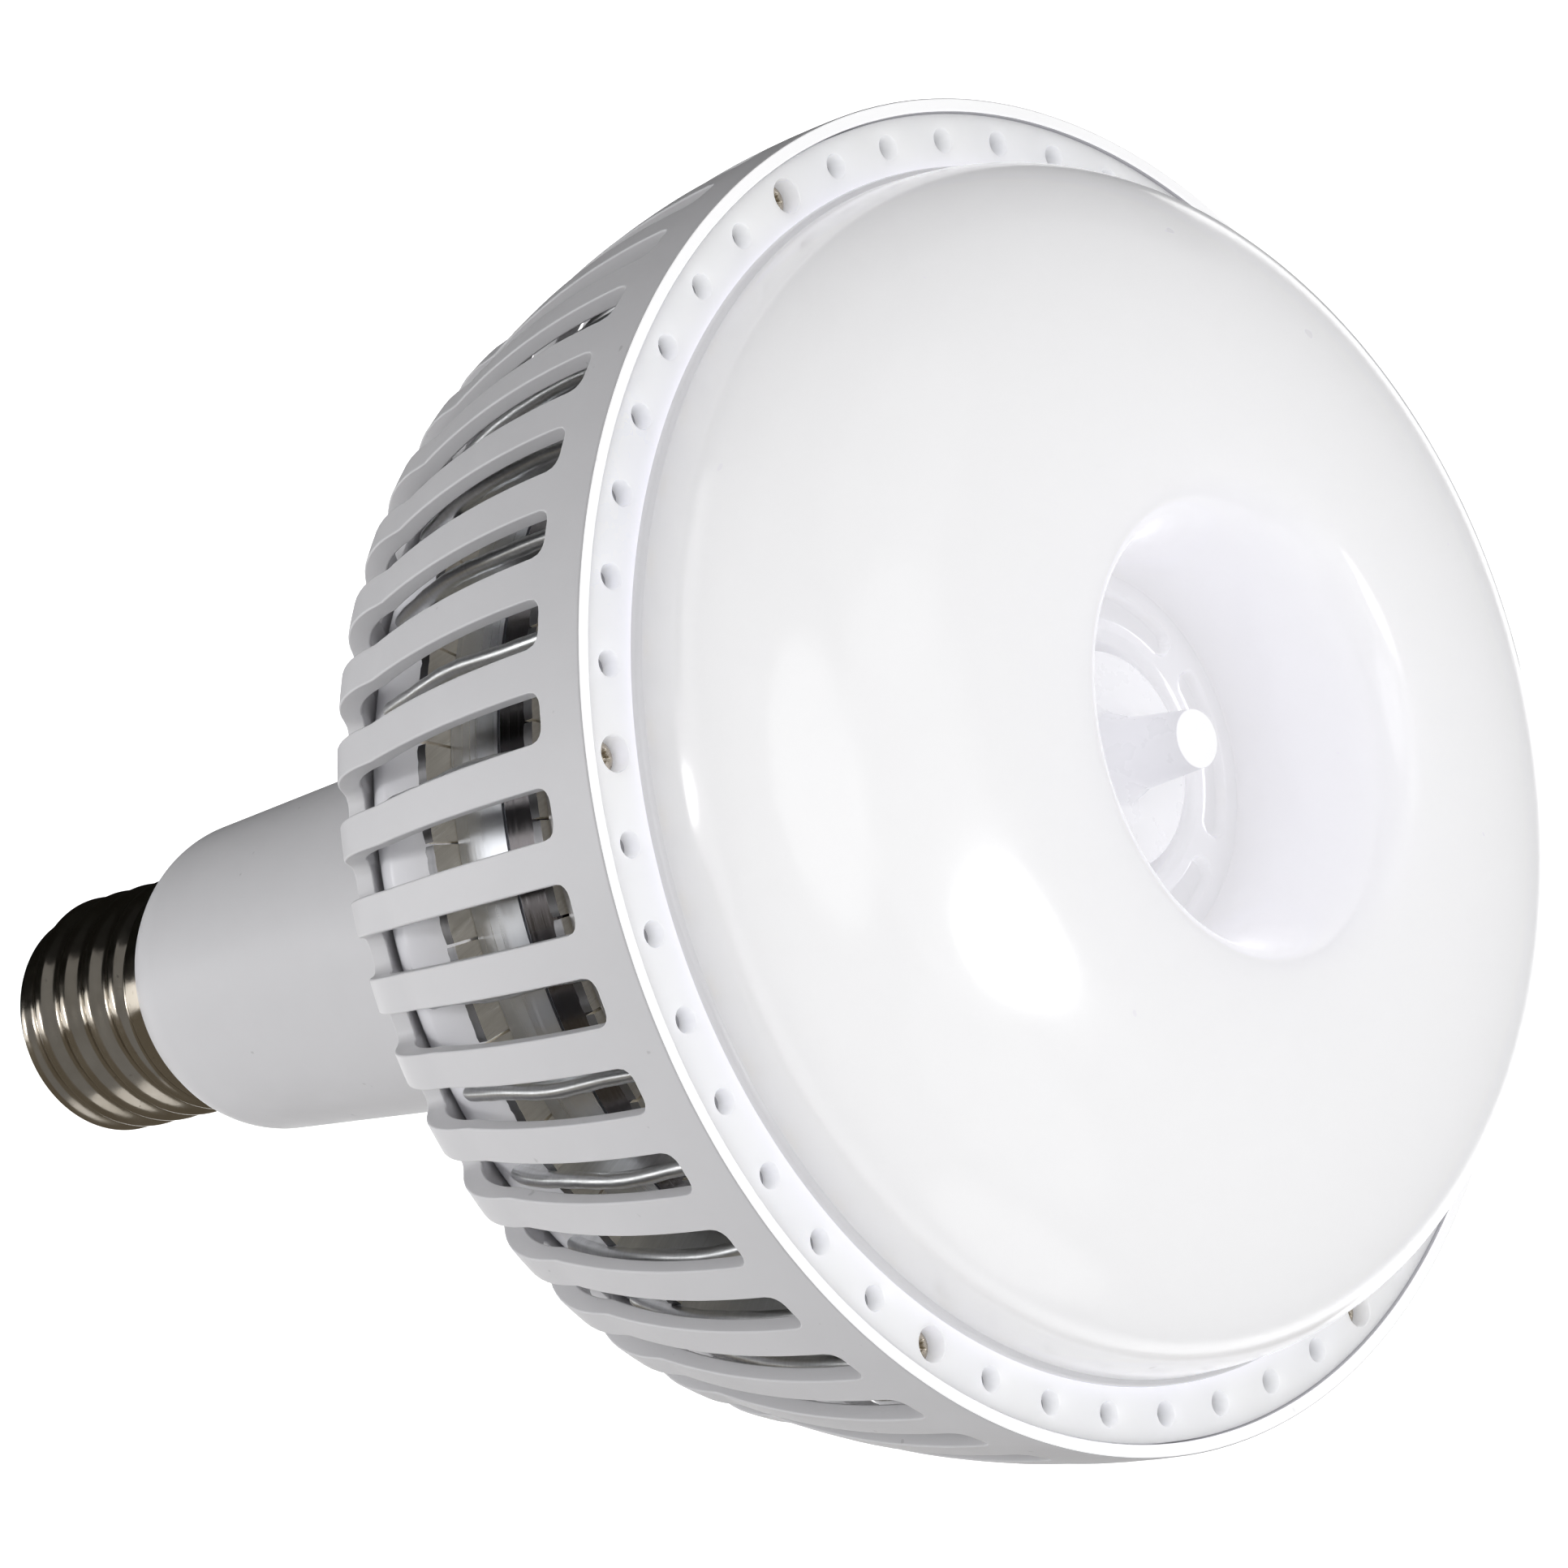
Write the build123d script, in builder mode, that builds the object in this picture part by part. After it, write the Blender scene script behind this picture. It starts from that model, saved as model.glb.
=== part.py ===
from build123d import *
import math
import os

# A vented LED grow lamp with a mogul (E39) screw base.
# Origin at the tip of the centre contact, +Z along the lamp's axis and out of the diffuser.
# The first lens screw stands on +X. Lengths are in millimetres and angles in degrees.

os.makedirs("parts", exist_ok=True)

# ---- driving dimensions -------------------------------------------------------------------

rim_z = 226.0  # plane of the cage's front rim
rim_radius = 96.0
rim_wall = 1.95

slot_count = 48
slot_pitch = 360.0 / slot_count
slot_angle = 4.0
slot_front_z = rim_z - 8.0
slot_end_radius = 75.6
slot_corner_radius = 2.0

hole_circle_radius = 90.0
screw_count = 6
screw_step = 360.0 / screw_count
vents_per_gap = slot_count // screw_count - 1
vent_span = slot_pitch * (vents_per_gap - 1)
vent_hole_radius = 1.7
shelf_hole_radius = 1.9
screw_shank_radius = 1.25
screw_head_radius = 2.05
screw_pilot_radius = 1.3
screw_recess_radius = 2.6
screw_recess_depth = 3.8
screw_boss_radius = 3.2
screw_boss_depth = 1.6

side_mid = (93.9, rim_z - 25.0)
side_end = (86.8, rim_z - 51.5)
shoulder_end = (73.0, rim_z - 70.2)
cage_wall = 2.5
cage_floor_z = rim_z - 68.4
cage_back_z = rim_z - 73.4
shelf_top_z = rim_z - 3.6
shelf_bottom_z = rim_z - 6.8
shelf_inner_radius = 86.4

neck_hole_radius = 32.4
neck_taper = 0.0656  # change of radius for each millimetre of height
neck_radius_at_rim = 36.56
neck_wall = 2.2
neck_rear_z = rim_z - 184.0
neck_shoulder_z = rim_z - 175.5
neck_rear_radius = 21.4
neck_flange_radius = 44.0
flange_thickness = 2.2

spigot_radius = 17.1
spigot_bore_radius = 14.2
spigot_end_z = 13.0

thread_pitch = 6.35
thread_turns = 4.5
thread_crest_radius = 19.5
thread_root_radius = 17.95
shell_wall = 0.5
skirt_radius = 19.2
skirt_end_z = neck_rear_z - 6.0
shell_end_z = 6.0
shell_end_radius = 13.0
contact_radius = 5.5
contact_height = 3.2

drum_radius = 75.5
stack_inner_radius = 60.0
cup_wall = 2.0
cup_top_z = rim_z - 49.1
tab_thickness = 1.6
core_height = 9.9
spacer_height = 6.4
core_z = cup_top_z + tab_thickness
spacer_z = core_z + core_height
upper_tab_z = spacer_z + spacer_height
spreader_z = upper_tab_z + tab_thickness
spreader_disc_z = rim_z - 10.3
spreader_top_z = rim_z - 7.3
spreader_radius = 85.8

fin_count = 36
fin_start = 7.1
fin_thickness = 1.0
fin_root_radius = drum_radius + 0.7
fin_front = (84.3, rim_z - 12.0)
fin_middle = (83.6, rim_z - 38.0)
fin_rear = (77.4, rim_z - 58.0)
hem_radius = 1.3
tab_angle = 9.3
tab_inner_radius = 67.0
lower_tab_radius = 80.0
upper_tab_radius = 76.9

pad_thickness = 0.5
board_thickness = 1.6
board_outer_radius = 84.0
board_inner_radius = 20.6
board_z = spreader_top_z + pad_thickness
board_top_z = board_z + board_thickness
chip_size = 3.0
chip_height = 0.7

flange_top_z = rim_z - 0.6
flange_radius = 93.8
foot_radius = 85.2
foot_z = rim_z + 0.9
crest_radius = 37.0
crest_z = rim_z + 32.2
dome_exponent = 2.3
funnel_radius = 28.4
funnel_knee_z = rim_z + 10.0
funnel_exponent = 3.0
lens_wall = 2.0
ledge_z = rim_z + 4.5  # top of the ledge round the centre cap
ledge_radius = 27.2
ledge_thickness = 3.2
kidney_count = 5
kidney_radius = 22.7
kidney_width = 4.0
kidney_depth = 1.6
kidney_start = 2.5
kidney_sweep = 51.0
pocket_radius = 17.5

cap_radius = 15.5
cap_edge_z = rim_z + 3.2
cap_top_z = rim_z + 5.2
peg_top_z = rim_z + 21.0
peg_tip_radius = 4.0
peg_waist = (5.2, rim_z + 9.4)
cap_post_radius = 5.0

tight_gap = 0.05  # radial room round a screw in its hole


def radial_plane(angle):
    """Plane through the lamp's axis: local x runs outward at this angle, local y runs up."""
    outward = (math.cos(math.radians(angle)), math.sin(math.radians(angle)), 0)
    normal = (math.sin(math.radians(angle)), -math.cos(math.radians(angle)), 0)
    return Plane(origin=(0, 0, 0), x_dir=outward, z_dir=normal)


def neck_radius(height):
    """Outer radius of the tapered neck at a height."""
    return neck_radius_at_rim + neck_taper * (height - rim_z)


def superellipse(start, end, exponent, count):
    """Points of a quarter superellipse that leaves start upright and reaches end level."""
    points = []
    for step in range(count + 1):
        turn = math.pi / 2 * step / count
        across = math.cos(turn) ** (2 / exponent)
        up = math.sin(turn) ** (2 / exponent)
        points.append((end[0] + (start[0] - end[0]) * across, start[1] + (end[1] - start[1]) * up))
    return points


def export(piece, name):
    """Label a finished piece and write its STEP file."""
    piece.part.label = name
    export_step(piece.part, f"parts/{name}.step")


# ---- screw base ---------------------------------------------------------------------------

with BuildPart() as center_contact:
    with BuildSketch(Plane.XZ):
        with BuildLine():
            Line((0, contact_height), (contact_radius - 1, contact_height))
            Line((contact_radius - 1, contact_height), (contact_radius, 1.6))
            TangentArc((0, 0), (contact_radius, 1.6), tangent=(1, 0))
            Line((0, 0), (0, contact_height))
        make_face()
    revolve(axis=Axis.Z)
export(center_contact, "center_contact")

with BuildPart() as base_insulator:
    with BuildSketch(Plane.XZ):
        with BuildLine():
            Polyline(
                (0, contact_height),
                (contact_radius + 1, contact_height),
                (shell_end_radius - 1, shell_end_z - 0.8),
                (shell_end_radius - 0.2, shell_end_z + 0.6),
                (shell_end_radius - 0.2, shell_end_z + 4),
                (0, shell_end_z + 4),
                close=True,
            )
        make_face()
    revolve(axis=Axis.Z)
    with Locations((0, 0, shell_end_z)):
        Cylinder(0.8, 20, mode=Mode.SUBTRACT)
export(base_insulator, "base_insulator")


def shell_outline(inset):
    """Points down the shell's wall: the skirt, the thread's ridges and valleys, and the end."""
    crest = thread_crest_radius - inset
    root = thread_root_radius - inset
    middle = (crest + root) / 2
    half = thread_pitch / 2
    height = skirt_end_z
    Line((skirt_radius - inset, neck_rear_z), (skirt_radius - inset, height + 0.8))
    Line((skirt_radius - inset, height + 0.8), (middle, height))
    for _ in range(int(2 * thread_turns)):
        bulge = root if (skirt_end_z - height) // half % 2 == 0 else crest
        ThreePointArc((middle, height), (bulge, height - half / 2), (middle, height - half))
        height -= half
    return (middle, height)


with BuildPart() as screw_shell:
    with BuildSketch(Plane.XZ):
        with BuildLine():
            outer_end = shell_outline(0)
            ThreePointArc(outer_end, (16.6, shell_end_z + 0.6), (shell_end_radius, shell_end_z))
            Line((shell_end_radius, shell_end_z), (shell_end_radius, shell_end_z + shell_wall))
            inner_end = shell_outline(shell_wall)
            ThreePointArc(
                (shell_end_radius, shell_end_z + shell_wall),
                (16.3, shell_end_z + shell_wall + 0.55),
                inner_end,
            )
            Line((skirt_radius, neck_rear_z), (skirt_radius - shell_wall, neck_rear_z))
        make_face()
    revolve(axis=Axis.Z)
export(screw_shell, "screw_shell")

# ---- neck and driver ----------------------------------------------------------------------

with BuildPart() as neck_housing:
    with BuildSketch(Plane.XZ):
        with BuildLine():
            flange_top_inner = (neck_radius(rim_z) - neck_wall - 4.4, cage_floor_z + flange_thickness)
            Polyline(
                flange_top_inner,
                (neck_flange_radius, cage_floor_z + flange_thickness),
                (neck_flange_radius, cage_floor_z),
                (neck_radius(cage_floor_z), cage_floor_z),
                (neck_radius(neck_shoulder_z), neck_shoulder_z),
            )
            ThreePointArc(
                (neck_radius(neck_shoulder_z), neck_shoulder_z),
                (24.0, neck_rear_z + 4.2),
                (neck_rear_radius + 0.5, neck_rear_z + 0.6),
            )
            Polyline(
                (neck_rear_radius + 0.5, neck_rear_z + 0.6),
                (neck_rear_radius, neck_rear_z),
                (spigot_radius, neck_rear_z),
                (spigot_radius, spigot_end_z),
                (spigot_bore_radius, spigot_end_z),
                (spigot_bore_radius, neck_rear_z + 2.4),
                (19.6, neck_rear_z + 2.4),
                (neck_radius(neck_shoulder_z) - neck_wall, neck_shoulder_z),
                flange_top_inner,
            )
        make_face()
    revolve(axis=Axis.Z)
    with BuildSketch(Plane.XY.offset(cage_floor_z)):
        with PolarLocations(39.0, 4, start_angle=45):
            Circle(1.6)
    extrude(amount=flange_thickness, mode=Mode.SUBTRACT)
export(neck_housing, "neck_housing")

driver_z = 54.0
driver_length = 96.0
driver_width = 36.0
with BuildPart() as driver_board:
    with BuildSketch(Plane.XZ.offset(2)):
        with Locations((0, driver_z + driver_length / 2)):
            RectangleRounded(driver_width, driver_length, 1.5)
    extrude(amount=board_thickness)
export(driver_board, "driver_board")
driver_front = -2.0

with BuildPart() as driver_transformer:
    with Locations((0, driver_front + 9, 104)):
        Box(19, 10, 20)
        Box(13, 18, 13)
    fillet(driver_transformer.edges().filter_by(Axis.Y), 0.8)
export(driver_transformer, "driver_transformer")

with BuildPart() as bulk_capacitors:
    for height in (66, 128):
        with BuildSketch(Plane(origin=(0, driver_front, height), x_dir=(1, 0, 0), z_dir=(0, 1, 0))):
            with GridLocations(14.2, 1, 2, 1):
                Circle(5.8)
        extrude(amount=15.5)
    fillet(bulk_capacitors.edges().filter_by(GeomType.CIRCLE), 0.7)
export(bulk_capacitors, "bulk_capacitors")

with BuildPart() as line_choke:
    with Locations((0, driver_front + 8.4, 85)):
        Torus(5.6, 2.7)
export(line_choke, "line_choke")

with BuildPart() as bridge_rectifier:
    with Locations((11.5, driver_front + 2.2, 85)):
        Box(4, 4.4, 12)
    chamfer(bridge_rectifier.edges().filter_by(Axis.Z), 0.5)
export(bridge_rectifier, "bridge_rectifier")

with BuildPart() as input_fuse:
    with BuildSketch(Plane.XY.offset(79)):
        with Locations((-12.5, driver_front + 2.2)):
            Circle(2.2)
    extrude(amount=12)
    fillet(input_fuse.edges().filter_by(GeomType.CIRCLE), 0.4)
export(input_fuse, "input_fuse")

with BuildPart() as driver_cover:
    with BuildSketch(Plane.XY.offset(cage_floor_z + flange_thickness)):
        Circle(34.5)
        with Locations((24.0, 0)):
            Circle(2.4, mode=Mode.SUBTRACT)
    extrude(amount=1.8)
export(driver_cover, "driver_cover")


def wire(name, points, bend, radius):
    """An insulated lead along straight runs joined by tangent arcs."""
    with BuildPart() as lead:
        with BuildLine() as route:
            FilletPolyline(*points, radius=bend)
        with BuildSketch(Plane(origin=route.line @ 0, z_dir=route.line % 0)):
            Circle(radius)
        sweep()
    export(lead, name)


wire("contact_lead", [(0, 0, contact_height), (0, 0, 30), (5, -4.3, 40), (5, -4.3, driver_z + 3)], 5, 0.7)
shell_route = [(16.4, 0, 12), (12.0, 0, 12), (12.0, 0, 30), (9.5, -4.3, 42), (9.5, -4.3, driver_z + 3)]
wire("shell_lead", shell_route, 2, 0.7)

# ---- cage ---------------------------------------------------------------------------------

with BuildPart() as slot_cutter:
    with BuildSketch(radial_plane(slot_pitch / 2 - slot_angle / 2)):
        with Locations(((slot_end_radius + 104) / 2, (slot_front_z + cage_back_z - 6) / 2)):
            Rectangle(104 - slot_end_radius, slot_front_z - cage_back_z + 6)
    revolve(axis=Axis.Z, revolution_arc=slot_angle)
    front_corners = [
        edge
        for edge in slot_cutter.edges().filter_by(GeomType.LINE)
        if edge.center().Z > slot_front_z - 0.01 and edge.length > 20
    ]
    fillet(front_corners, slot_corner_radius)
    rear_corners = [
        edge
        for edge in slot_cutter.edges().filter_by(Axis.Z)
        if math.hypot(edge.center().X, edge.center().Y) < slot_end_radius + 0.1
    ]
    fillet(rear_corners, slot_corner_radius)

with BuildPart() as vent_cage:
    with BuildSketch(Plane.XZ):
        with BuildLine():
            side = ThreePointArc((rim_radius, rim_z), side_mid, side_end)
            shoulder = TangentArc(side @ 1, shoulder_end, tangent=side % 1)
            Line(shoulder @ 1, (neck_hole_radius, cage_back_z))
            Line((neck_hole_radius, cage_back_z), (neck_hole_radius, cage_floor_z))
            floor_end = (shoulder_end[0] - 4.0, cage_floor_z)
            Line((neck_hole_radius, cage_floor_z), floor_end)
            inner_shoulder_top = (side_end[0] - cage_wall, side_end[1] + 0.7)
            ThreePointArc(floor_end, (79.4, rim_z - 61.6), inner_shoulder_top)
            inner_side_top = (rim_radius - cage_wall - 0.35, shelf_bottom_z)
            ThreePointArc(inner_shoulder_top, (side_mid[0] - cage_wall, side_mid[1] - 0.9), inner_side_top)
            Polyline(
                inner_side_top,
                (shelf_inner_radius, shelf_bottom_z),
                (shelf_inner_radius, shelf_top_z),
                (rim_radius - rim_wall, shelf_top_z),
                (rim_radius - rim_wall, rim_z),
                (rim_radius, rim_z),
            )
        make_face()
    revolve(axis=Axis.Z)
    with BuildSketch(Plane.XY.offset(shelf_bottom_z - 7)):
        with PolarLocations(hole_circle_radius, screw_count):
            Circle(2.7)
    extrude(amount=7)
    with PolarLocations(0, slot_count):
        add(slot_cutter.part, mode=Mode.SUBTRACT)
    with BuildSketch(Plane.XY.offset(shelf_bottom_z - 7)):
        with PolarLocations(hole_circle_radius, screw_count):
            Circle(screw_pilot_radius)
    extrude(amount=12, mode=Mode.SUBTRACT)
    with BuildSketch(Plane.XY.offset(shelf_top_z - screw_boss_depth)):
        with PolarLocations(hole_circle_radius, screw_count):
            Circle(screw_boss_radius + tight_gap)
    extrude(amount=screw_boss_depth, mode=Mode.SUBTRACT)
    with BuildSketch(Plane.XY.offset(shelf_bottom_z)):
        for gap in range(screw_count):
            first = gap * screw_step + slot_pitch
            with PolarLocations(hole_circle_radius, vents_per_gap, first, vent_span, endpoint=True):
                Circle(shelf_hole_radius)
    extrude(amount=shelf_top_z - shelf_bottom_z, mode=Mode.SUBTRACT)
    with BuildSketch(Plane.XY.offset(cage_floor_z)):
        with PolarLocations(39.0, 4, start_angle=45):
            Circle(1.5 + tight_gap)
        with PolarLocations(56.0, 4, start_angle=45):
            Circle(1.5 + tight_gap)
    extrude(amount=-2.2, mode=Mode.SUBTRACT)
export(vent_cage, "vent_cage")

# ---- heat sink stack ----------------------------------------------------------------------

bolt_circle_radius = 63.6
bolt_radius = 1.9
bolt_hole_radius = 2.1

with BuildPart() as carrier_cup:
    with BuildSketch(Plane.XZ):
        with BuildLine():
            Polyline(
                (neck_flange_radius + 0.4, cage_floor_z),
                (68.0, cage_floor_z),
            )
            ThreePointArc((68.0, cage_floor_z), (73.0, cage_floor_z + 2.1), (drum_radius, cage_floor_z + 7.0))
            Polyline(
                (drum_radius, cage_floor_z + 7.0),
                (drum_radius, cup_top_z),
                (stack_inner_radius, cup_top_z),
                (stack_inner_radius, cup_top_z - 5),
                (drum_radius - cup_wall, cup_top_z - 5),
                (drum_radius - cup_wall, cage_floor_z + 7.4),
            )
            ThreePointArc(
                (drum_radius - cup_wall, cage_floor_z + 7.4),
                (71.6, cage_floor_z + 3.6),
                (67.6, cage_floor_z + cup_wall),
            )
            Polyline(
                (67.6, cage_floor_z + cup_wall),
                (neck_flange_radius + 0.4, cage_floor_z + cup_wall),
                (neck_flange_radius + 0.4, cage_floor_z),
            )
        make_face()
    revolve(axis=Axis.Z)
    with BuildSketch(Plane.XY.offset(cage_floor_z)):
        with PolarLocations(56.0, 4, start_angle=45):
            Circle(1.6)
    extrude(amount=cup_wall, mode=Mode.SUBTRACT)
    with BuildSketch(Plane.XY.offset(cup_top_z - 5)):
        with PolarLocations(bolt_circle_radius, screw_count, start_angle=30):
            Circle(bolt_radius + tight_gap)
    extrude(amount=5, mode=Mode.SUBTRACT)
export(carrier_cup, "carrier_cup")


def stack_ring(name, base_z, height):
    """A turned aluminium ring of the heat sink stack, with bevelled outer edges and bolt holes."""
    with BuildPart() as ring:
        with BuildSketch(Plane.XY.offset(base_z)):
            Circle(drum_radius)
            Circle(stack_inner_radius, mode=Mode.SUBTRACT)
            with PolarLocations(bolt_circle_radius, screw_count, start_angle=30):
                Circle(bolt_hole_radius, mode=Mode.SUBTRACT)
        extrude(amount=height)
        rims = [edge for edge in ring.edges().filter_by(GeomType.CIRCLE) if edge.radius > drum_radius - 0.1]
        chamfer(rims, 0.35)
    export(ring, name)


stack_ring("core_ring", core_z, core_height)
stack_ring("spacer_ring", spacer_z, spacer_height)

with BuildPart() as fin:
    with BuildSketch(Plane.XZ):
        with BuildLine():
            ThreePointArc(fin_front, fin_middle, fin_rear)
            Polyline(
                fin_rear,
                (fin_root_radius, fin_rear[1] + 1.0),
                (fin_root_radius, fin_front[1]),
                fin_front,
            )
        make_face()
    extrude(amount=fin_thickness / 2, both=True)
    with BuildLine(Plane.XZ) as hem_path:
        ThreePointArc(fin_front, fin_middle, fin_rear)
    with BuildSketch(Plane(origin=hem_path.line @ 0, z_dir=hem_path.line % 0)):
        Circle(hem_radius)
    sweep()
    with BuildSketch(radial_plane(-tab_angle / 2)):
        lower_middle = (tab_inner_radius + lower_tab_radius) / 2
        with Locations((lower_middle, cup_top_z + tab_thickness / 2)):
            Rectangle(lower_tab_radius - tab_inner_radius, tab_thickness)
        upper_middle = (tab_inner_radius + upper_tab_radius) / 2
        with Locations((upper_middle, upper_tab_z + tab_thickness / 2)):
            Rectangle(upper_tab_radius - tab_inner_radius, tab_thickness)
    revolve(axis=Axis.Z, revolution_arc=tab_angle)

with BuildPart() as heat_sink_fins:
    with PolarLocations(0, fin_count, start_angle=fin_start):
        add(fin.part)
export(heat_sink_fins, "heat_sink_fins")

wire_hole_radius = 1.8
wire_hole_distance = 24.5
with BuildPart() as heat_spreader:
    with BuildSketch(Plane.XZ):
        with BuildLine():
            Polyline(
                (0, spreader_disc_z),
                (stack_inner_radius, spreader_disc_z),
                (stack_inner_radius, spreader_z),
                (drum_radius, spreader_z),
                (drum_radius, spreader_disc_z - 2),
            )
            TangentArc(
                (drum_radius, spreader_disc_z - 2),
                (drum_radius + 2, spreader_disc_z),
                tangent=(0, 1),
            )
            Polyline(
                (drum_radius + 2, spreader_disc_z),
                (spreader_radius, spreader_disc_z),
                (spreader_radius, spreader_top_z),
                (0, spreader_top_z),
                (0, spreader_disc_z),
            )
        make_face()
    revolve(axis=Axis.Z)
    with BuildSketch(Plane.XY.offset(spreader_z)):
        with PolarLocations(bolt_circle_radius, screw_count, start_angle=30):
            Circle(bolt_hole_radius)
        with PolarLocations(11.2, 6):
            Circle(2.6)
        with Locations((wire_hole_distance, 0)):
            Circle(wire_hole_radius)
        Circle(1.6)
    extrude(amount=spreader_top_z - spreader_z, mode=Mode.SUBTRACT)
    with BuildSketch(Plane.XY.offset(spreader_disc_z)):
        with PolarLocations(bolt_circle_radius, screw_count, start_angle=30):
            Circle(3.8)
    extrude(amount=3, mode=Mode.SUBTRACT)
export(heat_spreader, "heat_spreader")

# ---- light source -------------------------------------------------------------------------

with BuildPart() as thermal_pad:
    with BuildSketch(Plane.XY.offset(spreader_top_z)):
        Circle(board_outer_radius)
        Circle(board_inner_radius, mode=Mode.SUBTRACT)
        with Locations((wire_hole_distance, 0)):
            Circle(wire_hole_radius, mode=Mode.SUBTRACT)
    extrude(amount=pad_thickness)
export(thermal_pad, "thermal_pad")

with BuildPart() as led_board:
    with BuildSketch(Plane.XY.offset(board_z)):
        Circle(board_outer_radius)
        Circle(board_inner_radius, mode=Mode.SUBTRACT)
        with Locations((wire_hole_distance, 0)):
            Circle(wire_hole_radius, mode=Mode.SUBTRACT)
    extrude(amount=board_thickness)
export(led_board, "led_board")

with BuildPart() as led_chips:
    with BuildSketch(Plane.XY.offset(board_top_z)):
        for ring_number in range(4):
            ring_radius = 38 + 12.5 * ring_number
            with PolarLocations(ring_radius, 20 + 8 * ring_number):
                RectangleRounded(chip_size, chip_size, 0.3)
    extrude(amount=chip_height)
export(led_chips, "led_chips")

with BuildPart() as led_connector:
    with Locations((wire_hole_distance + 5.6, 0, board_top_z + 2)):
        Box(6, 8, 4)
    with Locations((wire_hole_distance + 3.6, 0, board_top_z + 2)):
        with GridLocations(1, 4, 1, 2):
            Box(3, 1.8, 1.8, mode=Mode.SUBTRACT)
    chamfer(led_connector.edges().group_by(Axis.Z)[-1], 0.3)
export(led_connector, "led_connector")

# ---- diffuser and cap ---------------------------------------------------------------------

foot_radius_inside = foot_radius - lens_wall
with BuildPart() as diffuser_lens:
    with BuildSketch(Plane.XZ):
        with BuildLine():
            dome = superellipse((foot_radius, foot_z), (crest_radius, crest_z), dome_exponent, 9)
            flare = superellipse((funnel_radius, funnel_knee_z), (crest_radius, crest_z), funnel_exponent, 7)
            Polyline(
                (foot_radius + 0.8, shelf_top_z - 1.4),
                (foot_radius + 0.8, shelf_top_z),
                (flange_radius, shelf_top_z),
                (flange_radius, flange_top_z),
                (foot_radius + 1.0, flange_top_z),
                (foot_radius + 0.9, flange_top_z + 0.9),
                (foot_radius, foot_z),
            )
            Spline(*dome, tangents=[(0, 1), (-1, 0)])
            Spline(*reversed(flare), tangents=[(-1, 0), (0, -1)])
            Polyline(
                (funnel_radius, funnel_knee_z),
                (ledge_radius + 0.5, ledge_z + 1.4),
                (ledge_radius, ledge_z),
                (pocket_radius + 1.6, ledge_z),
                (pocket_radius, ledge_z - 1.0),
                (pocket_radius, spreader_top_z),
                (pocket_radius + lens_wall, spreader_top_z),
                (pocket_radius + lens_wall, ledge_z - ledge_thickness),
                (ledge_radius + 1.4, ledge_z - ledge_thickness),
                (funnel_radius + lens_wall, funnel_knee_z),
            )
            inner_crest = (crest_radius, crest_z - lens_wall)
            inner_knee = (funnel_radius + lens_wall, funnel_knee_z)
            inner_flare = superellipse(inner_knee, inner_crest, funnel_exponent, 7)
            inner_dome = superellipse((foot_radius_inside, foot_z), inner_crest, dome_exponent, 9)
            Spline(*inner_flare, tangents=[(0, 1), (1, 0)])
            Spline(*reversed(inner_dome), tangents=[(1, 0), (0, -1)])
            Polyline(
                (foot_radius_inside, foot_z),
                (foot_radius_inside, shelf_top_z - 0.4),
                (board_outer_radius + 0.5, shelf_top_z - 1.4),
                (foot_radius + 0.8, shelf_top_z - 1.4),
            )
        make_face()
    revolve(axis=Axis.Z)
    with BuildSketch(Plane.XY.offset(ledge_z - kidney_depth)):
        for pocket in range(kidney_count):
            first = kidney_start + pocket * 360 / kidney_count
            middle = CenterArc((0, 0), kidney_radius, first, kidney_sweep, mode=Mode.PRIVATE)
            SlotArc(middle, kidney_width)
    extrude(amount=kidney_depth + 1, mode=Mode.SUBTRACT)
    with BuildSketch(Plane.XY.offset(shelf_top_z - screw_boss_depth)):
        with PolarLocations(hole_circle_radius, screw_count):
            Circle(screw_boss_radius)
    extrude(amount=screw_boss_depth)
    with BuildSketch(Plane.XY.offset(shelf_top_z - screw_boss_depth)):
        with PolarLocations(hole_circle_radius, screw_count):
            Circle(screw_shank_radius + 0.25)
    extrude(amount=6, mode=Mode.SUBTRACT)
    with BuildSketch(Plane.XY.offset(shelf_top_z)):
        for gap in range(screw_count):
            first = gap * screw_step + slot_pitch
            with PolarLocations(hole_circle_radius, vents_per_gap, first, vent_span, endpoint=True):
                Circle(vent_hole_radius)
    extrude(amount=6, mode=Mode.SUBTRACT)
    with BuildSketch(Plane.XY.offset(flange_top_z - screw_recess_depth)):
        with PolarLocations(hole_circle_radius, screw_count):
            Circle(screw_recess_radius)
    extrude(amount=6, mode=Mode.SUBTRACT)
    vent_rims = [
        edge
        for edge in diffuser_lens.edges().filter_by(GeomType.CIRCLE)
        if abs(edge.radius - vent_hole_radius) < 0.01 and edge.center().Z > flange_top_z - 0.01
    ]
    chamfer(vent_rims, 0.35)
export(diffuser_lens, "diffuser_lens")

with BuildPart() as lens_gasket:
    with BuildSketch(Plane.XY.offset(spreader_top_z)):
        Circle(spreader_radius)
        Circle(board_outer_radius + 0.6, mode=Mode.SUBTRACT)
    extrude(amount=shelf_top_z - 1.4 - spreader_top_z)
export(lens_gasket, "lens_gasket")

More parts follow.
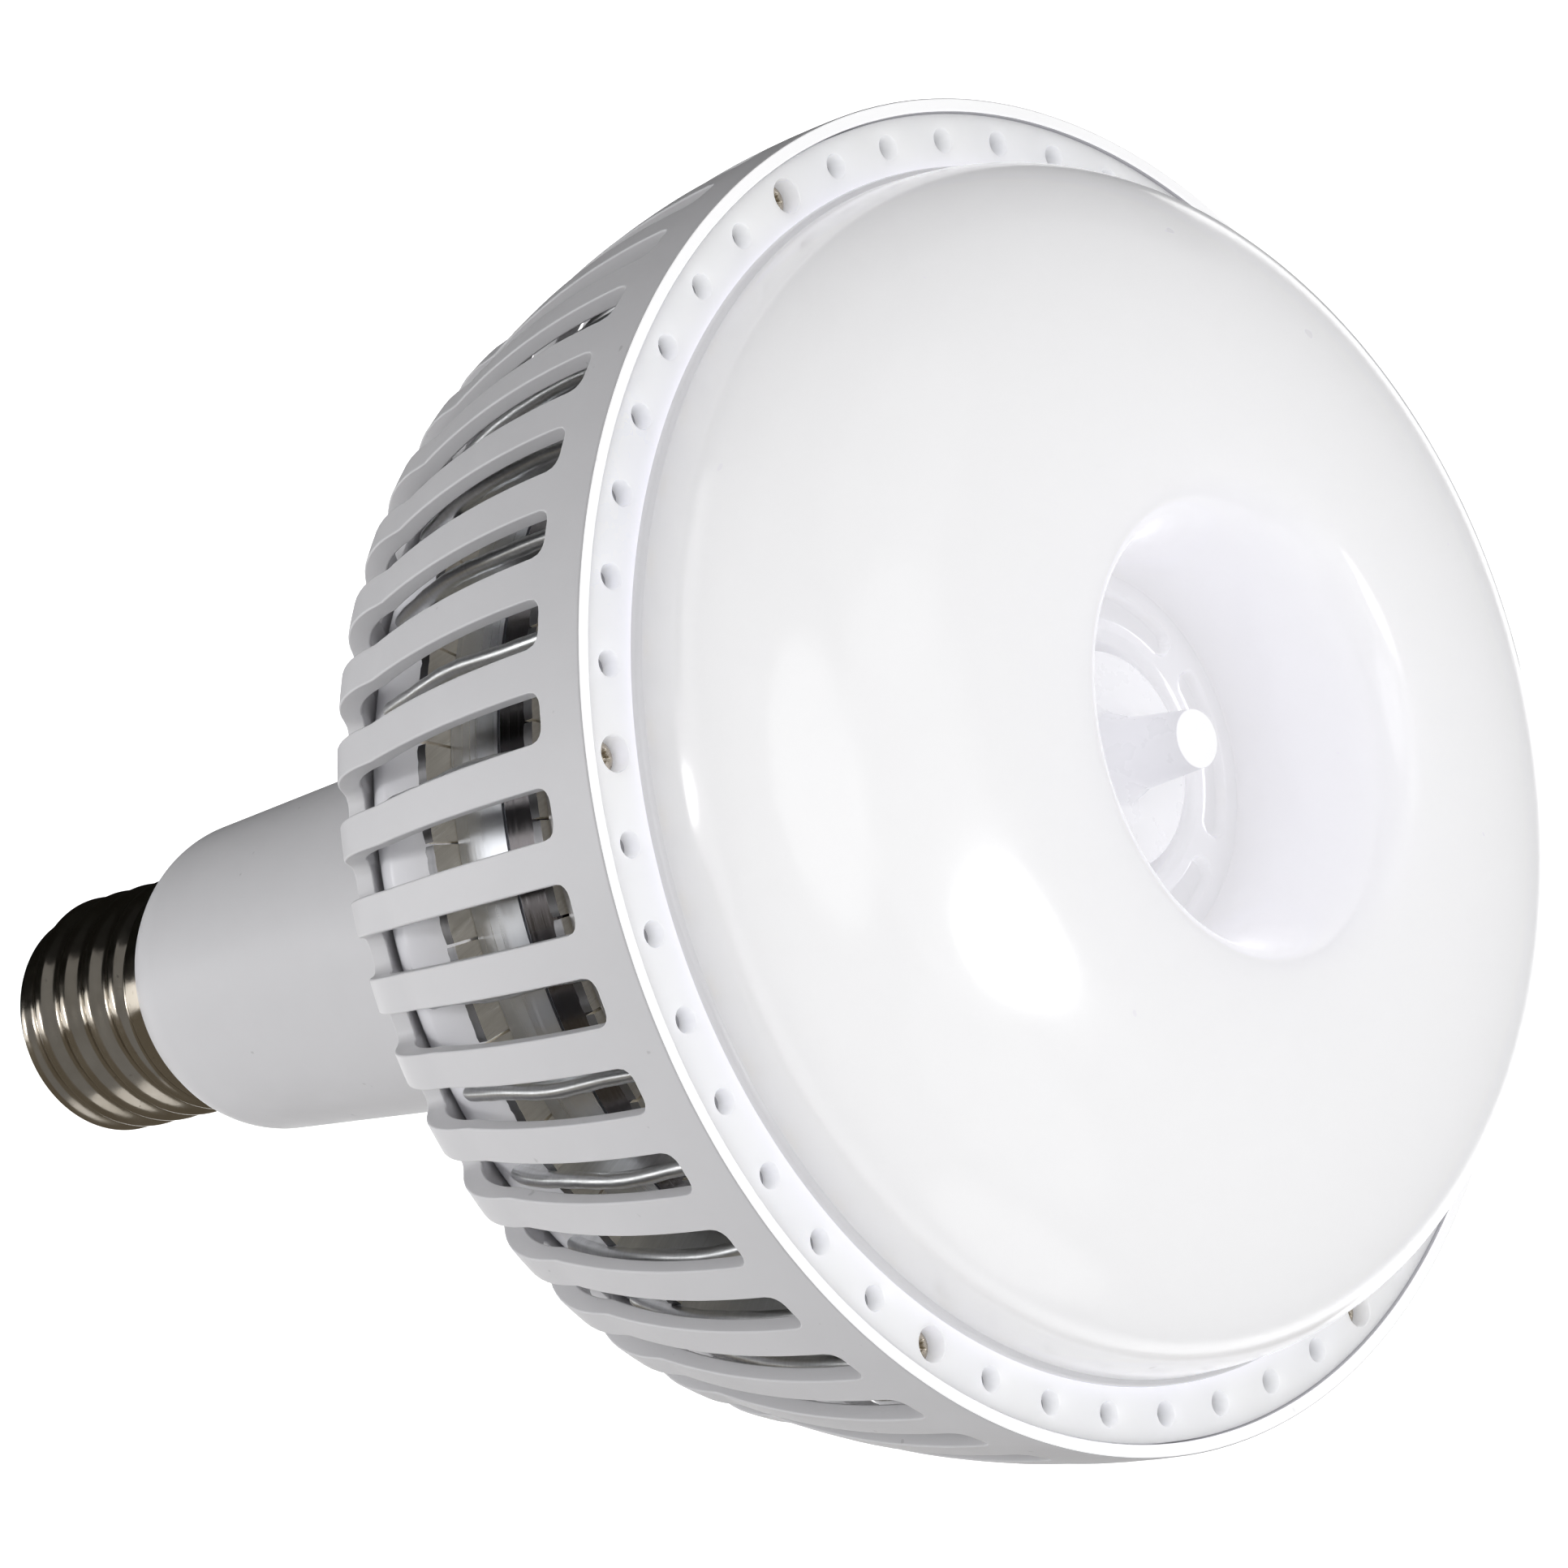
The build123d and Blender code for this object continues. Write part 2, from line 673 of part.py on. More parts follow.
head_base_z = flange_top_z - screw_recess_depth
with BuildPart() as lens_screws:
    with PolarLocations(hole_circle_radius, screw_count):
        with Locations((0, 0, head_base_z)):
            Cylinder(screw_head_radius, 1.3, align=(Align.CENTER, Align.CENTER, Align.MIN))
        with Locations((0, 0, head_base_z - 9)):
            Cylinder(screw_shank_radius, 9, align=(Align.CENTER, Align.CENTER, Align.MIN))
    crowns = [
        edge
        for edge in lens_screws.edges().filter_by(GeomType.CIRCLE)
        if edge.center().Z > head_base_z + 1.2 and edge.radius > 1.5
    ]
    fillet(crowns, 0.7)
    with BuildSketch(Plane.XY.offset(head_base_z + 0.5)):
        with PolarLocations(hole_circle_radius, screw_count):
            Rectangle(2.3, 0.6)
            Rectangle(0.6, 2.3)
    extrude(amount=1, mode=Mode.SUBTRACT)
export(lens_screws, "lens_screws")

with BuildPart() as center_cap:
    with BuildSketch(Plane.XZ):
        with BuildLine():
            Polyline(
                (0, spreader_top_z),
                (cap_post_radius, spreader_top_z),
                (cap_post_radius, cap_edge_z),
                (cap_radius - 0.5, cap_edge_z),
                (cap_radius, cap_edge_z + 0.5),
                (cap_radius, cap_top_z - 0.6),
                (cap_radius - 0.6, cap_top_z),
                (8.6, cap_top_z),
            )
            ThreePointArc((8.6, cap_top_z), (6.3, cap_top_z + 1.2), peg_waist)
            Polyline(
                peg_waist,
                (peg_tip_radius, peg_top_z - 0.4),
                (peg_tip_radius - 0.4, peg_top_z),
                (0, peg_top_z),
                (0, spreader_top_z),
            )
        make_face()
    revolve(axis=Axis.Z)
    with BuildSketch(Plane.XY.offset(spreader_top_z)):
        Circle(1.4 + tight_gap)
    extrude(amount=7.5, mode=Mode.SUBTRACT)
export(center_cap, "center_cap")

# ---- hidden fasteners and leads -----------------------------------------------------------


def upright_screws(name, places, shank_radius, shank_length, head_radius, head_height):
    """Cap screws that point down. Each place is the underside of a head."""
    with BuildPart() as screws:
        with Locations(*places):
            Cylinder(head_radius, head_height, align=(Align.CENTER, Align.CENTER, Align.MIN))
            Cylinder(shank_radius, shank_length, align=(Align.CENTER, Align.CENTER, Align.MAX))
    export(screws, name)


def ring_of_places(radius, count, start_angle, height):
    """Points at equal steps round a circle."""
    places = []
    for number in range(count):
        angle = math.radians(start_angle + 360 / count * number)
        places.append((radius * math.cos(angle), radius * math.sin(angle), height))
    return places


flange_face_z = cage_floor_z + flange_thickness
upright_screws("neck_screws", ring_of_places(39.0, 4, 45, flange_face_z), 1.5, 4.2, 2.8, 2.0)
upright_screws("cup_screws", ring_of_places(56.0, 4, 45, cage_floor_z + cup_wall), 1.5, 4.0, 2.8, 2.0)
stack_length = spreader_disc_z - cup_top_z + 4.4
bolt_places = ring_of_places(bolt_circle_radius, 6, 30, spreader_disc_z)
upright_screws("stack_bolts", bolt_places, bolt_radius, stack_length, 3.4, 2.8)

with BuildPart() as cap_screw:
    with Locations((0, 0, spreader_disc_z)):
        Cylinder(2.8, 2.0, align=(Align.CENTER, Align.CENTER, Align.MAX))
        Cylinder(1.4, 9.6, align=(Align.CENTER, Align.CENTER, Align.MIN))
export(cap_screw, "cap_screw")

driver_top_z = driver_z + driver_length
wire(
    "output_lead",
    [
        (6, -4.8, driver_top_z - 4),
        (6, -4.8, driver_top_z + 3),
        (24.0, 0, driver_top_z + 8.5),
        (24.0, 0, driver_top_z + 20),
        (wire_hole_distance, 0, spreader_disc_z - 8),
        (wire_hole_distance, 0, board_top_z + 0.4),
    ],
    2.5,
    1.2,
)
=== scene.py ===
import math
import random

import bmesh
import bpy
from mathutils import Matrix, Vector


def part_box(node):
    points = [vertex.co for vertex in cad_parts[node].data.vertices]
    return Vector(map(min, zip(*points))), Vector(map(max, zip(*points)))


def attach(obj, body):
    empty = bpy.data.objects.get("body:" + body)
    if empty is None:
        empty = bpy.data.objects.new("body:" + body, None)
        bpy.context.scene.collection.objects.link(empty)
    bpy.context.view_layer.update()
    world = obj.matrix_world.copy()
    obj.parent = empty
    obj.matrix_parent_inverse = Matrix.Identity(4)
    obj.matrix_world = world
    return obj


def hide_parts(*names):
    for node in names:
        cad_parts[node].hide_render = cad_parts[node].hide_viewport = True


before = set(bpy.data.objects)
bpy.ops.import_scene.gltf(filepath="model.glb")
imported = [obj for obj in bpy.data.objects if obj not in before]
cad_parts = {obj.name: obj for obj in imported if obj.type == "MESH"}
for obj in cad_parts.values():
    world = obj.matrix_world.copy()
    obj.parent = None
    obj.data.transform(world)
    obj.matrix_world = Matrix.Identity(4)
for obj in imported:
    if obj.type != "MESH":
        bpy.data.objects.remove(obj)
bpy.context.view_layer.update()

MM = 0.001
SLOTS = 48
CELL = 360 / SLOTS
SCREW_COUNT = 6
CELLS_PER_SCREW = SLOTS // SCREW_COUNT
SCREW_CIRCLE = 90.0
FINS = 36

# ---- where things are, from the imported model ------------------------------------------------

cage_low, cage_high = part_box("vent_cage")
rim_z = cage_high[2]
rim_radius = min(cage_high[0], cage_high[1], -cage_low[0], -cage_low[1])
crest_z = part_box("diffuser_lens")[1][2]
neck_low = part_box("neck_housing")[0]
shell_low, shell_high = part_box("screw_shell")
drum_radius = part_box("core_ring")[1][0]
core_low, core_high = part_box("core_ring")
spacer_low, spacer_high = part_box("spacer_ring")
cap_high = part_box("center_cap")[1]


def at_rim(points):
    """Profile points given in millimetres from the axis and from the rim's plane."""
    return [(radius * MM, rim_z + height * MM) for radius, height in points]


# ---- mesh helpers ---------------------------------------------------------------------------


def arc(start, through, end, count):
    """Points on the circle through three points, from start to end."""
    ax, ay = start
    bx, by = through
    cx, cy = end
    d = 2 * (ax * (by - cy) + bx * (cy - ay) + cx * (ay - by))
    a2, b2, c2 = ax * ax + ay * ay, bx * bx + by * by, cx * cx + cy * cy
    ox = (a2 * (by - cy) + b2 * (cy - ay) + c2 * (ay - by)) / d
    oy = (a2 * (cx - bx) + b2 * (ax - cx) + c2 * (bx - ax)) / d
    radius = math.hypot(ax - ox, ay - oy)
    first = math.atan2(ay - oy, ax - ox)
    middle = math.atan2(by - oy, bx - ox)
    last = math.atan2(cy - oy, cx - ox)
    turn = (last - first) % math.tau
    if (middle - first) % math.tau > turn:
        turn -= math.tau
    steps = [first + turn * step / count for step in range(count + 1)]
    return [(ox + radius * math.cos(a), oy + radius * math.sin(a)) for a in steps]


def superellipse(start, end, exponent, count):
    """A quarter superellipse that leaves start upright and reaches end level."""
    points = []
    for step in range(count + 1):
        turn = math.pi / 2 * step / count
        across = math.cos(turn) ** (2 / exponent)
        up = math.sin(turn) ** (2 / exponent)
        points.append((end[0] + (start[0] - end[0]) * across, start[1] + (end[1] - start[1]) * up))
    return points


def eased(points, radius, steps=3):
    """The polyline with its inner corners rounded."""
    result = [points[0]]
    for before, corner, after in zip(points, points[1:], points[2:]):
        b, c, a = Vector(before), Vector(corner), Vector(after)
        back, ahead = b - c, a - c
        if back.length < 1e-9 or ahead.length < 1e-9 or back.angle(-ahead) < math.radians(12):
            result.append(corner)
            continue
        reach = min(radius, back.length * 0.45, ahead.length * 0.45)
        p, q = c + back.normalized() * reach, c + ahead.normalized() * reach
        for step in range(steps + 1):
            t = step / steps
            result.append(tuple(p * (1 - t) ** 2 + c * 2 * t * (1 - t) + q * t ** 2))
    result.append(points[-1])
    return result


def polar(radius, angle, height):
    """A point from its distance and angle about the lamp's axis."""
    return (radius * math.cos(angle), radius * math.sin(angle), height)


def piece(name, verts, faces, node, slot, material, sharp=40.0, weld=1e-6):
    """Makes one piece of the object that stands for a CAD node."""
    mesh = bpy.data.meshes.new(name)
    mesh.from_pydata(verts, [], faces)
    work = bmesh.new()
    work.from_mesh(mesh)
    bmesh.ops.remove_doubles(work, verts=work.verts, dist=weld)
    bmesh.ops.dissolve_degenerate(work, edges=work.edges, dist=1e-7)
    bmesh.ops.recalc_face_normals(work, faces=work.faces)
    work.to_mesh(mesh)
    work.free()
    mesh.materials.append(material)
    mesh.shade_smooth()
    mesh.set_sharp_from_angle(angle=math.radians(sharp))
    made = bpy.data.objects.new(name, mesh)
    bpy.context.scene.collection.objects.link(made)
    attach(made, "root")
    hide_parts(node)
    return made


def band(start, other, count):
    """Faces between two closed rings of vertices."""
    around = [(k, (k + 1) % count) for k in range(count)]
    return [(start + k, start + n, other + n, other + k) for k, n in around]


def strip(start, other, count):
    """Faces between two open rows of vertices, count faces long."""
    return [(start + k, start + k + 1, other + k + 1, other + k) for k in range(count)]


def spin(profile, segments, closed=False):
    """Vertices and faces of a profile turned about the lamp's axis."""
    verts = []
    for radius, height in profile:
        for step in range(segments):
            verts.append(polar(radius, math.tau * step / segments, height))
    rows = len(profile)
    faces = []
    for row in range(rows if closed else rows - 1):
        faces += band(row * segments, (row + 1) % rows * segments, segments)
    return verts, faces


def soft_edges(made, width, segments=2, angle=40.0):
    """Rounds the edges of a piece a little, as moulded and turned parts are."""
    bevel = made.modifiers.new("edge", "BEVEL")
    bevel.width = width
    bevel.segments = segments
    bevel.limit_method = "ANGLE"
    bevel.angle_limit = math.radians(angle)
    bevel.harden_normals = True
    bevel.miter_outer = "MITER_ARC"


def joined(parts):
    """One list of vertices and faces from several."""
    verts, faces = [], []
    for more_verts, more_faces in parts:
        base = len(verts)
        verts.extend(more_verts)
        faces.extend(tuple(base + index for index in face) for face in more_faces)
    return verts, faces


# ---- materials ------------------------------------------------------------------------------


class Look:
    """A node material being put together."""

    def __init__(self, name, color, roughness, metallic=0.0):
        self.material = bpy.data.materials.new(name)
        self.material.use_nodes = True
        self.tree = self.material.node_tree
        self.shader = self.tree.nodes["Principled BSDF"]
        self.shader.inputs["Base Color"].default_value = (*color, 1)
        self.shader.inputs["Roughness"].default_value = roughness
        self.shader.inputs["Metallic"].default_value = metallic
        self.color = color
        self.place = self.tree.nodes.new("ShaderNodeTexCoord").outputs["Object"]
        self.normal = None

    def node(self, kind, **values):
        """A new shader node with some of its settings."""
        made = self.tree.nodes.new(kind)
        for key, value in values.items():
            setattr(made, key, value)
        return made

    def join(self, out, into):
        """Links an output to an input."""
        self.tree.links.new(out, into)

    def math(self, operation, a, b=None):
        """A sum or function of one or two values, each a number or an output."""
        made = self.node("ShaderNodeMath", operation=operation)
        for index, value in enumerate((a, b)):
            if value is None:
                continue
            if isinstance(value, (int, float)):
                made.inputs[index].default_value = value
            else:
                self.join(value, made.inputs[index])
        return made.outputs[0]

    def noise(self, scale, detail=3.0, roughness=0.55, place=None):
        """Cloudy noise with scale features to the metre."""
        made = self.node("ShaderNodeTexNoise")
        made.inputs["Scale"].default_value = scale
        made.inputs["Detail"].default_value = detail
        made.inputs["Roughness"].default_value = roughness
        self.join(place or self.place, made.inputs["Vector"])
        return made.outputs["Fac"]

    def ramp(self, value, low, high, from_low=0.3, from_high=0.7):
        """Maps a value's middle range to low and high."""
        made = self.node("ShaderNodeMapRange")
        made.inputs["From Min"].default_value = from_low
        made.inputs["From Max"].default_value = from_high
        made.inputs["To Min"].default_value = low
        made.inputs["To Max"].default_value = high
        self.join(value, made.inputs["Value"])
        return made.outputs["Result"]

    def tint(self, factor, other, base=None):
        """Mixes the base colour towards another by a factor."""
        made = self.node("ShaderNodeMix", data_type="RGBA")
        self.join(factor, made.inputs["Factor"])
        if base is None:
            made.inputs["A"].default_value = (*self.color, 1)
        else:
            self.join(base, made.inputs["A"])
        made.inputs["B"].default_value = (*other, 1)
        self.join(made.outputs["Result"], self.shader.inputs["Base Color"])
        return made.outputs["Result"]

    def glow(self, color, strength):
        """Gives the surface a light of its own."""
        self.shader.inputs["Emission Color"].default_value = (*color, 1)
        self.shader.inputs["Emission Strength"].default_value = strength

    def scatter(self, radius, scale):
        """Lets light travel through the material, scale metres deep."""
        self.shader.inputs["Subsurface Weight"].default_value = 1.0
        self.shader.inputs["Subsurface Radius"].default_value = radius
        self.shader.inputs["Subsurface Scale"].default_value = scale

    def stretched(self, scale, turn=0.0):
        """Coordinates stretched for marks that run one way, turned about the lamp's axis."""
        made = self.node("ShaderNodeMapping")
        made.inputs["Rotation"].default_value = (0, 0, math.radians(turn))
        made.inputs["Scale"].default_value = scale
        self.join(self.place, made.inputs["Vector"])
        return made.outputs["Vector"]

    def rough(self, value):
        """Varies the roughness by a value."""
        self.join(value, self.shader.inputs["Roughness"])

    def bump(self, height, depth, strength=1.0):
        """Adds relief of a real depth in metres."""
        made = self.node("ShaderNodeBump")
        made.inputs["Strength"].default_value = strength
        made.inputs["Distance"].default_value = depth
        self.join(height, made.inputs["Height"])
        if self.normal is not None:
            self.join(self.normal, made.inputs["Normal"])
        self.normal = made.outputs["Normal"]
        self.join(self.normal, self.shader.inputs["Normal"])

    def round_the_axis(self, along, around=4.0):
        """Coordinates for marks that run round the axis: fine across them, slow along them."""
        split = self.node("ShaderNodeSeparateXYZ")
        self.join(self.place, split.inputs[0])
        x, y, z = split.outputs
        squares = self.math("ADD", self.math("MULTIPLY", x, x), self.math("MULTIPLY", y, y))
        radius = self.math("SQRT", squares)
        angle = self.math("ARCTAN2", y, x)
        merge = self.node("ShaderNodeCombineXYZ")
        self.join(self.math("MULTIPLY", radius, along), merge.inputs[0])
        self.join(self.math("MULTIPLY", z, along), merge.inputs[1])
        self.join(self.math("MULTIPLY", angle, around), merge.inputs[2])
        return merge.outputs[0]

    def off_axis(self):
        """Distance from the lamp's axis, in metres."""
        flat = self.node("ShaderNodeVectorMath", operation="MULTIPLY")
        flat.inputs[1].default_value = (1, 1, 0)
        self.join(self.place, flat.inputs[0])
        made = self.node("ShaderNodeVectorMath", operation="LENGTH")
        self.join(flat.outputs["Vector"], made.inputs[0])
        return made.outputs["Value"]


def moulded(name, color, roughness, grain=0.000012, spread=0.02):
    """Moulded plastic: a fine spark-eroded grain, soft sinks and a few darker specks of dust."""
    look = Look(name, color, roughness)
    darker = tuple(channel * (1 - spread * 2) for channel in color)
    clouds = look.ramp(look.noise(28, 4), 0, 1)
    base = look.tint(clouds, darker)
    specks = look.ramp(look.noise(520, 1, 0.4), 0, 0.5, 0.78, 0.82)
    look.tint(specks, tuple(channel * 0.55 for channel in color), base)
    look.rough(look.ramp(look.noise(160, 5), roughness - 0.05, roughness + 0.07))
    look.bump(look.noise(2600, 2), grain)
    look.bump(look.noise(24, 1), 0.00010, 0.6)
    return look


def turned_metal(name, color, roughness, marks=0.00001):
    """Turned aluminium: circular tool marks with slow bands and small stains."""
    look = Look(name, color, roughness, 1.0)
    lines = look.round_the_axis(1500, 1.2)
    fine = look.noise(1.0, 4, 0.7, lines)
    bands = look.noise(0.12, 2, 0.5, lines)
    base = look.tint(look.ramp(bands, 0, 0.5), tuple(channel * 0.72 for channel in color))
    stains = look.ramp(look.noise(170, 4), 0, 0.45, 0.52, 0.78)
    look.tint(stains, (color[0] * 0.75, color[1] * 0.70, color[2] * 0.62), base)
    look.rough(look.ramp(fine, roughness - 0.07, roughness + 0.12))
    look.bump(fine, marks)
    return look


def housing_plastic():
    """White housing plastic: cage, shelf and neck."""
    look = moulded("housing_plastic", (0.565, 0.562, 0.578), 0.42)
    look.shader.inputs["Specular IOR Level"].default_value = 0.45
    return look


def glowing_rim_face():
    """Painted light: a whiter copy of the white plastic with a glow of its own, for the rim's front
    face and the peg's tip, which catch more light.
    """
    look = moulded("glowing_rim_face", (0.96, 0.96, 0.965), 0.30, 0.000006)
    # Painted light: these faces glow a little and are whiter than the housing plastic.
    look.glow((1.0, 1.0, 1.0), 0.27)
    return look


def milky_dome_with_glow():
    """Thick milky diffuser: light spreads inside it. It also glows a little, which is painted light,
    and the funnel is painted a little darker, which is painted shade.
    """
    look = Look("milky_dome_with_glow", (0.948, 0.943, 0.985), 0.14)
    look.scatter((1.0, 1.0, 1.0), 0.06)
    # Painted light: a faint glow of its own, for the light a hollow milky cover passes on.
    look.glow((0.96, 0.955, 1.0), 0.23)
    look.shader.inputs["IOR"].default_value = 1.5
    base = look.tint(look.ramp(look.noise(9, 3), 0, 1), (0.942, 0.936, 0.980))
    # Painted shade: the base colour darkens inside the funnel.
    funnel_shade = look.ramp(look.off_axis(), 1, 0, 29 * MM, 37 * MM)
    base = look.tint(funnel_shade, (0.845, 0.84, 0.88), base)
    specks = look.ramp(look.noise(260, 1, 0.3), 0, 0.6, 0.80, 0.83)
    look.tint(specks, (0.66, 0.65, 0.65), base)
    look.rough(look.ramp(look.noise(60, 4), 0.12, 0.17))
    look.bump(look.noise(14, 1), 0.00012, 0.5)
    look.bump(look.noise(900, 2), 0.000003)
    return look


def frosted_flange_with_glow():
    """Frosted flange: thinner than the dome, with soft bluish patches and a faint glow of its own,
    which is painted light.
    """
    look = Look("frosted_flange_with_glow", (0.93, 0.933, 0.945), 0.30)
    look.scatter((1.0, 1.0, 1.05), 0.006)
    # Painted light: a faint glow of its own, for light carried over from the dome.
    look.glow((0.96, 0.97, 1.0), 0.18)
    look.tint(look.ramp(look.noise(26, 2), 0, 1), (0.84, 0.845, 0.90))
    look.rough(look.ramp(look.noise(300, 4), 0.22, 0.36))
    look.bump(look.noise(700, 3), 0.000006)
    return look


def nickel_shell():
    """Nickel-plated brass with marks round it and brownish stains."""
    look = Look("nickel_shell", (0.50, 0.46, 0.40), 0.14, 1.0)
    lines = look.round_the_axis(900, 3.0)
    base = look.tint(look.ramp(look.noise(130, 5), 0, 0.7), (0.36, 0.32, 0.26))
    spots = look.ramp(look.noise(900, 2, 0.4), 0, 0.5, 0.70, 0.80)
    look.tint(spots, (0.16, 0.14, 0.11), base)
    look.rough(look.ramp(look.noise(240, 5), 0.09, 0.24))
    look.bump(look.noise(0.8, 3, 0.6, lines), 0.000008)
    look.bump(look.noise(420, 2), 0.000012)
    return look


def screw_nickel():
    """Warm nickel of the lens screws, dull in patches."""
    look = Look("screw_nickel", (0.58, 0.53, 0.45), 0.24, 1.0)
    look.tint(look.ramp(look.noise(900, 4), 0, 0.8), (0.30, 0.26, 0.20))
    look.rough(look.ramp(look.noise(1800, 3), 0.16, 0.38))
    look.bump(look.noise(3000, 3), 0.000008)
    return look


def zinc_steel():
    """Zinc-plated steel of the inner screws."""
    look = Look("zinc_steel", (0.60, 0.61, 0.63), 0.32, 1.0)
    look.tint(look.ramp(look.noise(500, 4), 0, 0.6), (0.40, 0.41, 0.40))
    look.bump(look.noise(2500, 3), 0.000008)
    return look


def fin_aluminium():
    """Rolled sheet with fine marks along the fins."""
    look = Look("fin_aluminium", (0.80, 0.81, 0.82), 0.34, 1.0)
    marks = look.noise(1.0, 4, 0.6, look.stretched((60, 60, 1400)))
    look.tint(look.ramp(marks, 0, 0.5), (0.62, 0.63, 0.63))
    look.rough(look.ramp(marks, 0.28, 0.44))
    look.bump(marks, 0.000005)
    return look


def tab_aluminium():
    """The fins' bent tabs: dull and tan, with slanting marks."""
    look = Look("tab_aluminium", (0.97, 0.91, 0.79), 0.50, 0.15)
    marks = look.noise(1.0, 4, 0.6, look.stretched((2400, 120, 800), 35))
    look.tint(look.ramp(marks, 0, 0.7), (0.80, 0.74, 0.63))
    look.rough(look.ramp(marks, 0.24, 0.5))
    look.bump(marks, 0.000010)
    return look


def black_glass():
    """The base's dark insulator."""
    look = Look("base_insulator", (0.012, 0.011, 0.011), 0.12)
    look.tint(look.ramp(look.noise(140, 4), 0, 1), (0.03, 0.027, 0.025))
    look.bump(look.noise(90, 3), 0.00005)
    return look


def contact_brass():
    """The centre contact: a worn, brassy button."""
    look = Look("contact_metal", (0.62, 0.56, 0.44), 0.25, 1.0)
    look.tint(look.ramp(look.noise(420, 4), 0, 1), (0.42, 0.38, 0.31))
    look.rough(look.ramp(look.noise(900, 4), 0.16, 0.42))
    look.bump(look.noise(1300, 3), 0.00001)
    return look


housing = housing_plastic()
painted_light_white = glowing_rim_face()
dome = milky_dome_with_glow()
frosted = frosted_flange_with_glow()
cup_gloss = moulded("glossy_white", (0.84, 0.84, 0.875), 0.12, 0.000003)
cap_white = moulded("cap_white", (0.95, 0.95, 0.96), 0.28, 0.000006)
nickel = nickel_shell()
screw_metal = screw_nickel()
zinc = zinc_steel()
turned = turned_metal("turned_aluminium", (0.78, 0.80, 0.84), 0.30, 0.000006)
# The polished band's near-black colour is painted shade: it stands for the dark insides that the
# polished ring reflects.
polished_painted_dark = turned_metal("polished_aluminium", (0.17, 0.16, 0.165), 0.16, 0.000004)
spreader_metal = turned_metal("spreader_aluminium", (0.66, 0.66, 0.68), 0.33)
fin_metal = fin_aluminium()
tab_metal = tab_aluminium()
# Dark metal for the tabs' outward edge faces: painted shade for the dark line where they sit in shade.
tab_edge_shade = turned_metal("shaded_tab_edge_metal", (0.25, 0.25, 0.26), 0.42)
glass_black = black_glass()
contact_metal = contact_brass()

inner_looks = {
    "thermal_pad": ((0.30, 0.31, 0.33), 0.75),
    "lens_gasket": ((0.72, 0.72, 0.70), 0.6),
    "led_board": ((0.80, 0.80, 0.77), 0.3),
    "led_chips": ((0.80, 0.62, 0.08), 0.2),
    "led_connector": ((0.74, 0.72, 0.62), 0.35),
    "driver_board": ((0.02, 0.12, 0.045), 0.3),
    "driver_cover": ((0.07, 0.07, 0.075), 0.7),
    "driver_transformer": ((0.60, 0.42, 0.03), 0.4),
    "bulk_capacitors": ((0.012, 0.012, 0.02), 0.22),
    "line_choke": ((0.32, 0.08, 0.02), 0.25),
    "bridge_rectifier": ((0.01, 0.01, 0.01), 0.4),
    "input_fuse": ((0.70, 0.66, 0.58), 0.35),
    "contact_lead": ((0.01, 0.01, 0.01), 0.45),
    "shell_lead": ((0.74, 0.74, 0.71), 0.45),
    "output_lead": ((0.74, 0.74, 0.71), 0.45),
}

# ---- camera ---------------------------------------------------------------------------------

aim = Vector((0.0167, 0.0230, rim_z - 0.0307))
turn = math.radians(71.37)
rise = math.radians(43.05)
roll = math.radians(75.1)
reach = 0.7624
toward = Vector((math.cos(rise) * math.cos(turn), math.cos(rise) * math.sin(turn), math.sin(rise)))
level = Vector((-math.sin(turn), math.cos(turn), 0))
upward = toward.cross(level)
across = level * math.cos(roll) + upward * math.sin(roll)
over = toward.cross(across)
camera_data = bpy.data.cameras.new("camera")
camera_data.sensor_width = 36
camera_data.lens = 125.7
camera_data.clip_start = 0.05
camera_data.clip_end = 50
camera = bpy.data.objects.new("camera", camera_data)
bpy.context.scene.collection.objects.link(camera)
camera.matrix_world = Matrix.Translation(aim + toward * reach) @ Matrix(
    ((across[0], over[0], toward[0]), (across[1], over[1], toward[1]), (across[2], over[2], toward[2]))
).to_4x4()
bpy.context.scene.camera = camera

# ---- screw base -----------------------------------------------------------------------------

thread_pitch = 6.35 * MM
thread_depth = 1.75 * MM
crest_radius = shell_high[0]
root_radius = crest_radius - thread_depth
skirt_radius = crest_radius - 0.3 * MM
skirt_low = shell_high[2] - 5.6 * MM
skirt_blend = 1.6 * MM
end_radius = 13.0 * MM
thread_low = shell_low[2] + 4.2 * MM
crimp_count = 8
crimp_depth = 0.5 * MM
crimp_size = 0.75 * MM
crimp_drop = 1.1 * MM
shell_rows = 190
shell_steps = 160


def thread_radius(angle, height):
    """The shell's wall: a rolled thread that fades into the skirt and the rounded end."""
    phase = height / thread_pitch - angle / math.tau
    wave = 0.5 + 0.5 * math.cos(math.tau * phase)
    thread = root_radius + (crest_radius - root_radius) * wave ** 0.85
    fade_up = min(max((skirt_low - height) / skirt_blend, 0), 1)
    fade_up = fade_up * fade_up * (3 - 2 * fade_up)
    wall = skirt_radius + (thread - skirt_radius) * fade_up
    down = min(max((thread_low - height) / (thread_low - shell_low[2]), 0), 1)
    round_off = math.sqrt(max(1 - down * down, 0))
    return end_radius + (wall - end_radius) * round_off


def crimp(angle, height, radius):
    """How deep the small crimps round the skirt press the wall in at a point."""
    pressed = 0.0
    for mark in range(crimp_count):
        away = (angle - math.tau * (mark + 0.35) / crimp_count + math.pi) % math.tau - math.pi
        gap = math.hypot(away * radius, height - shell_high[2] + crimp_drop)
        pressed += math.exp(-(gap / crimp_size) ** 2)
    return crimp_depth * min(pressed, 1)


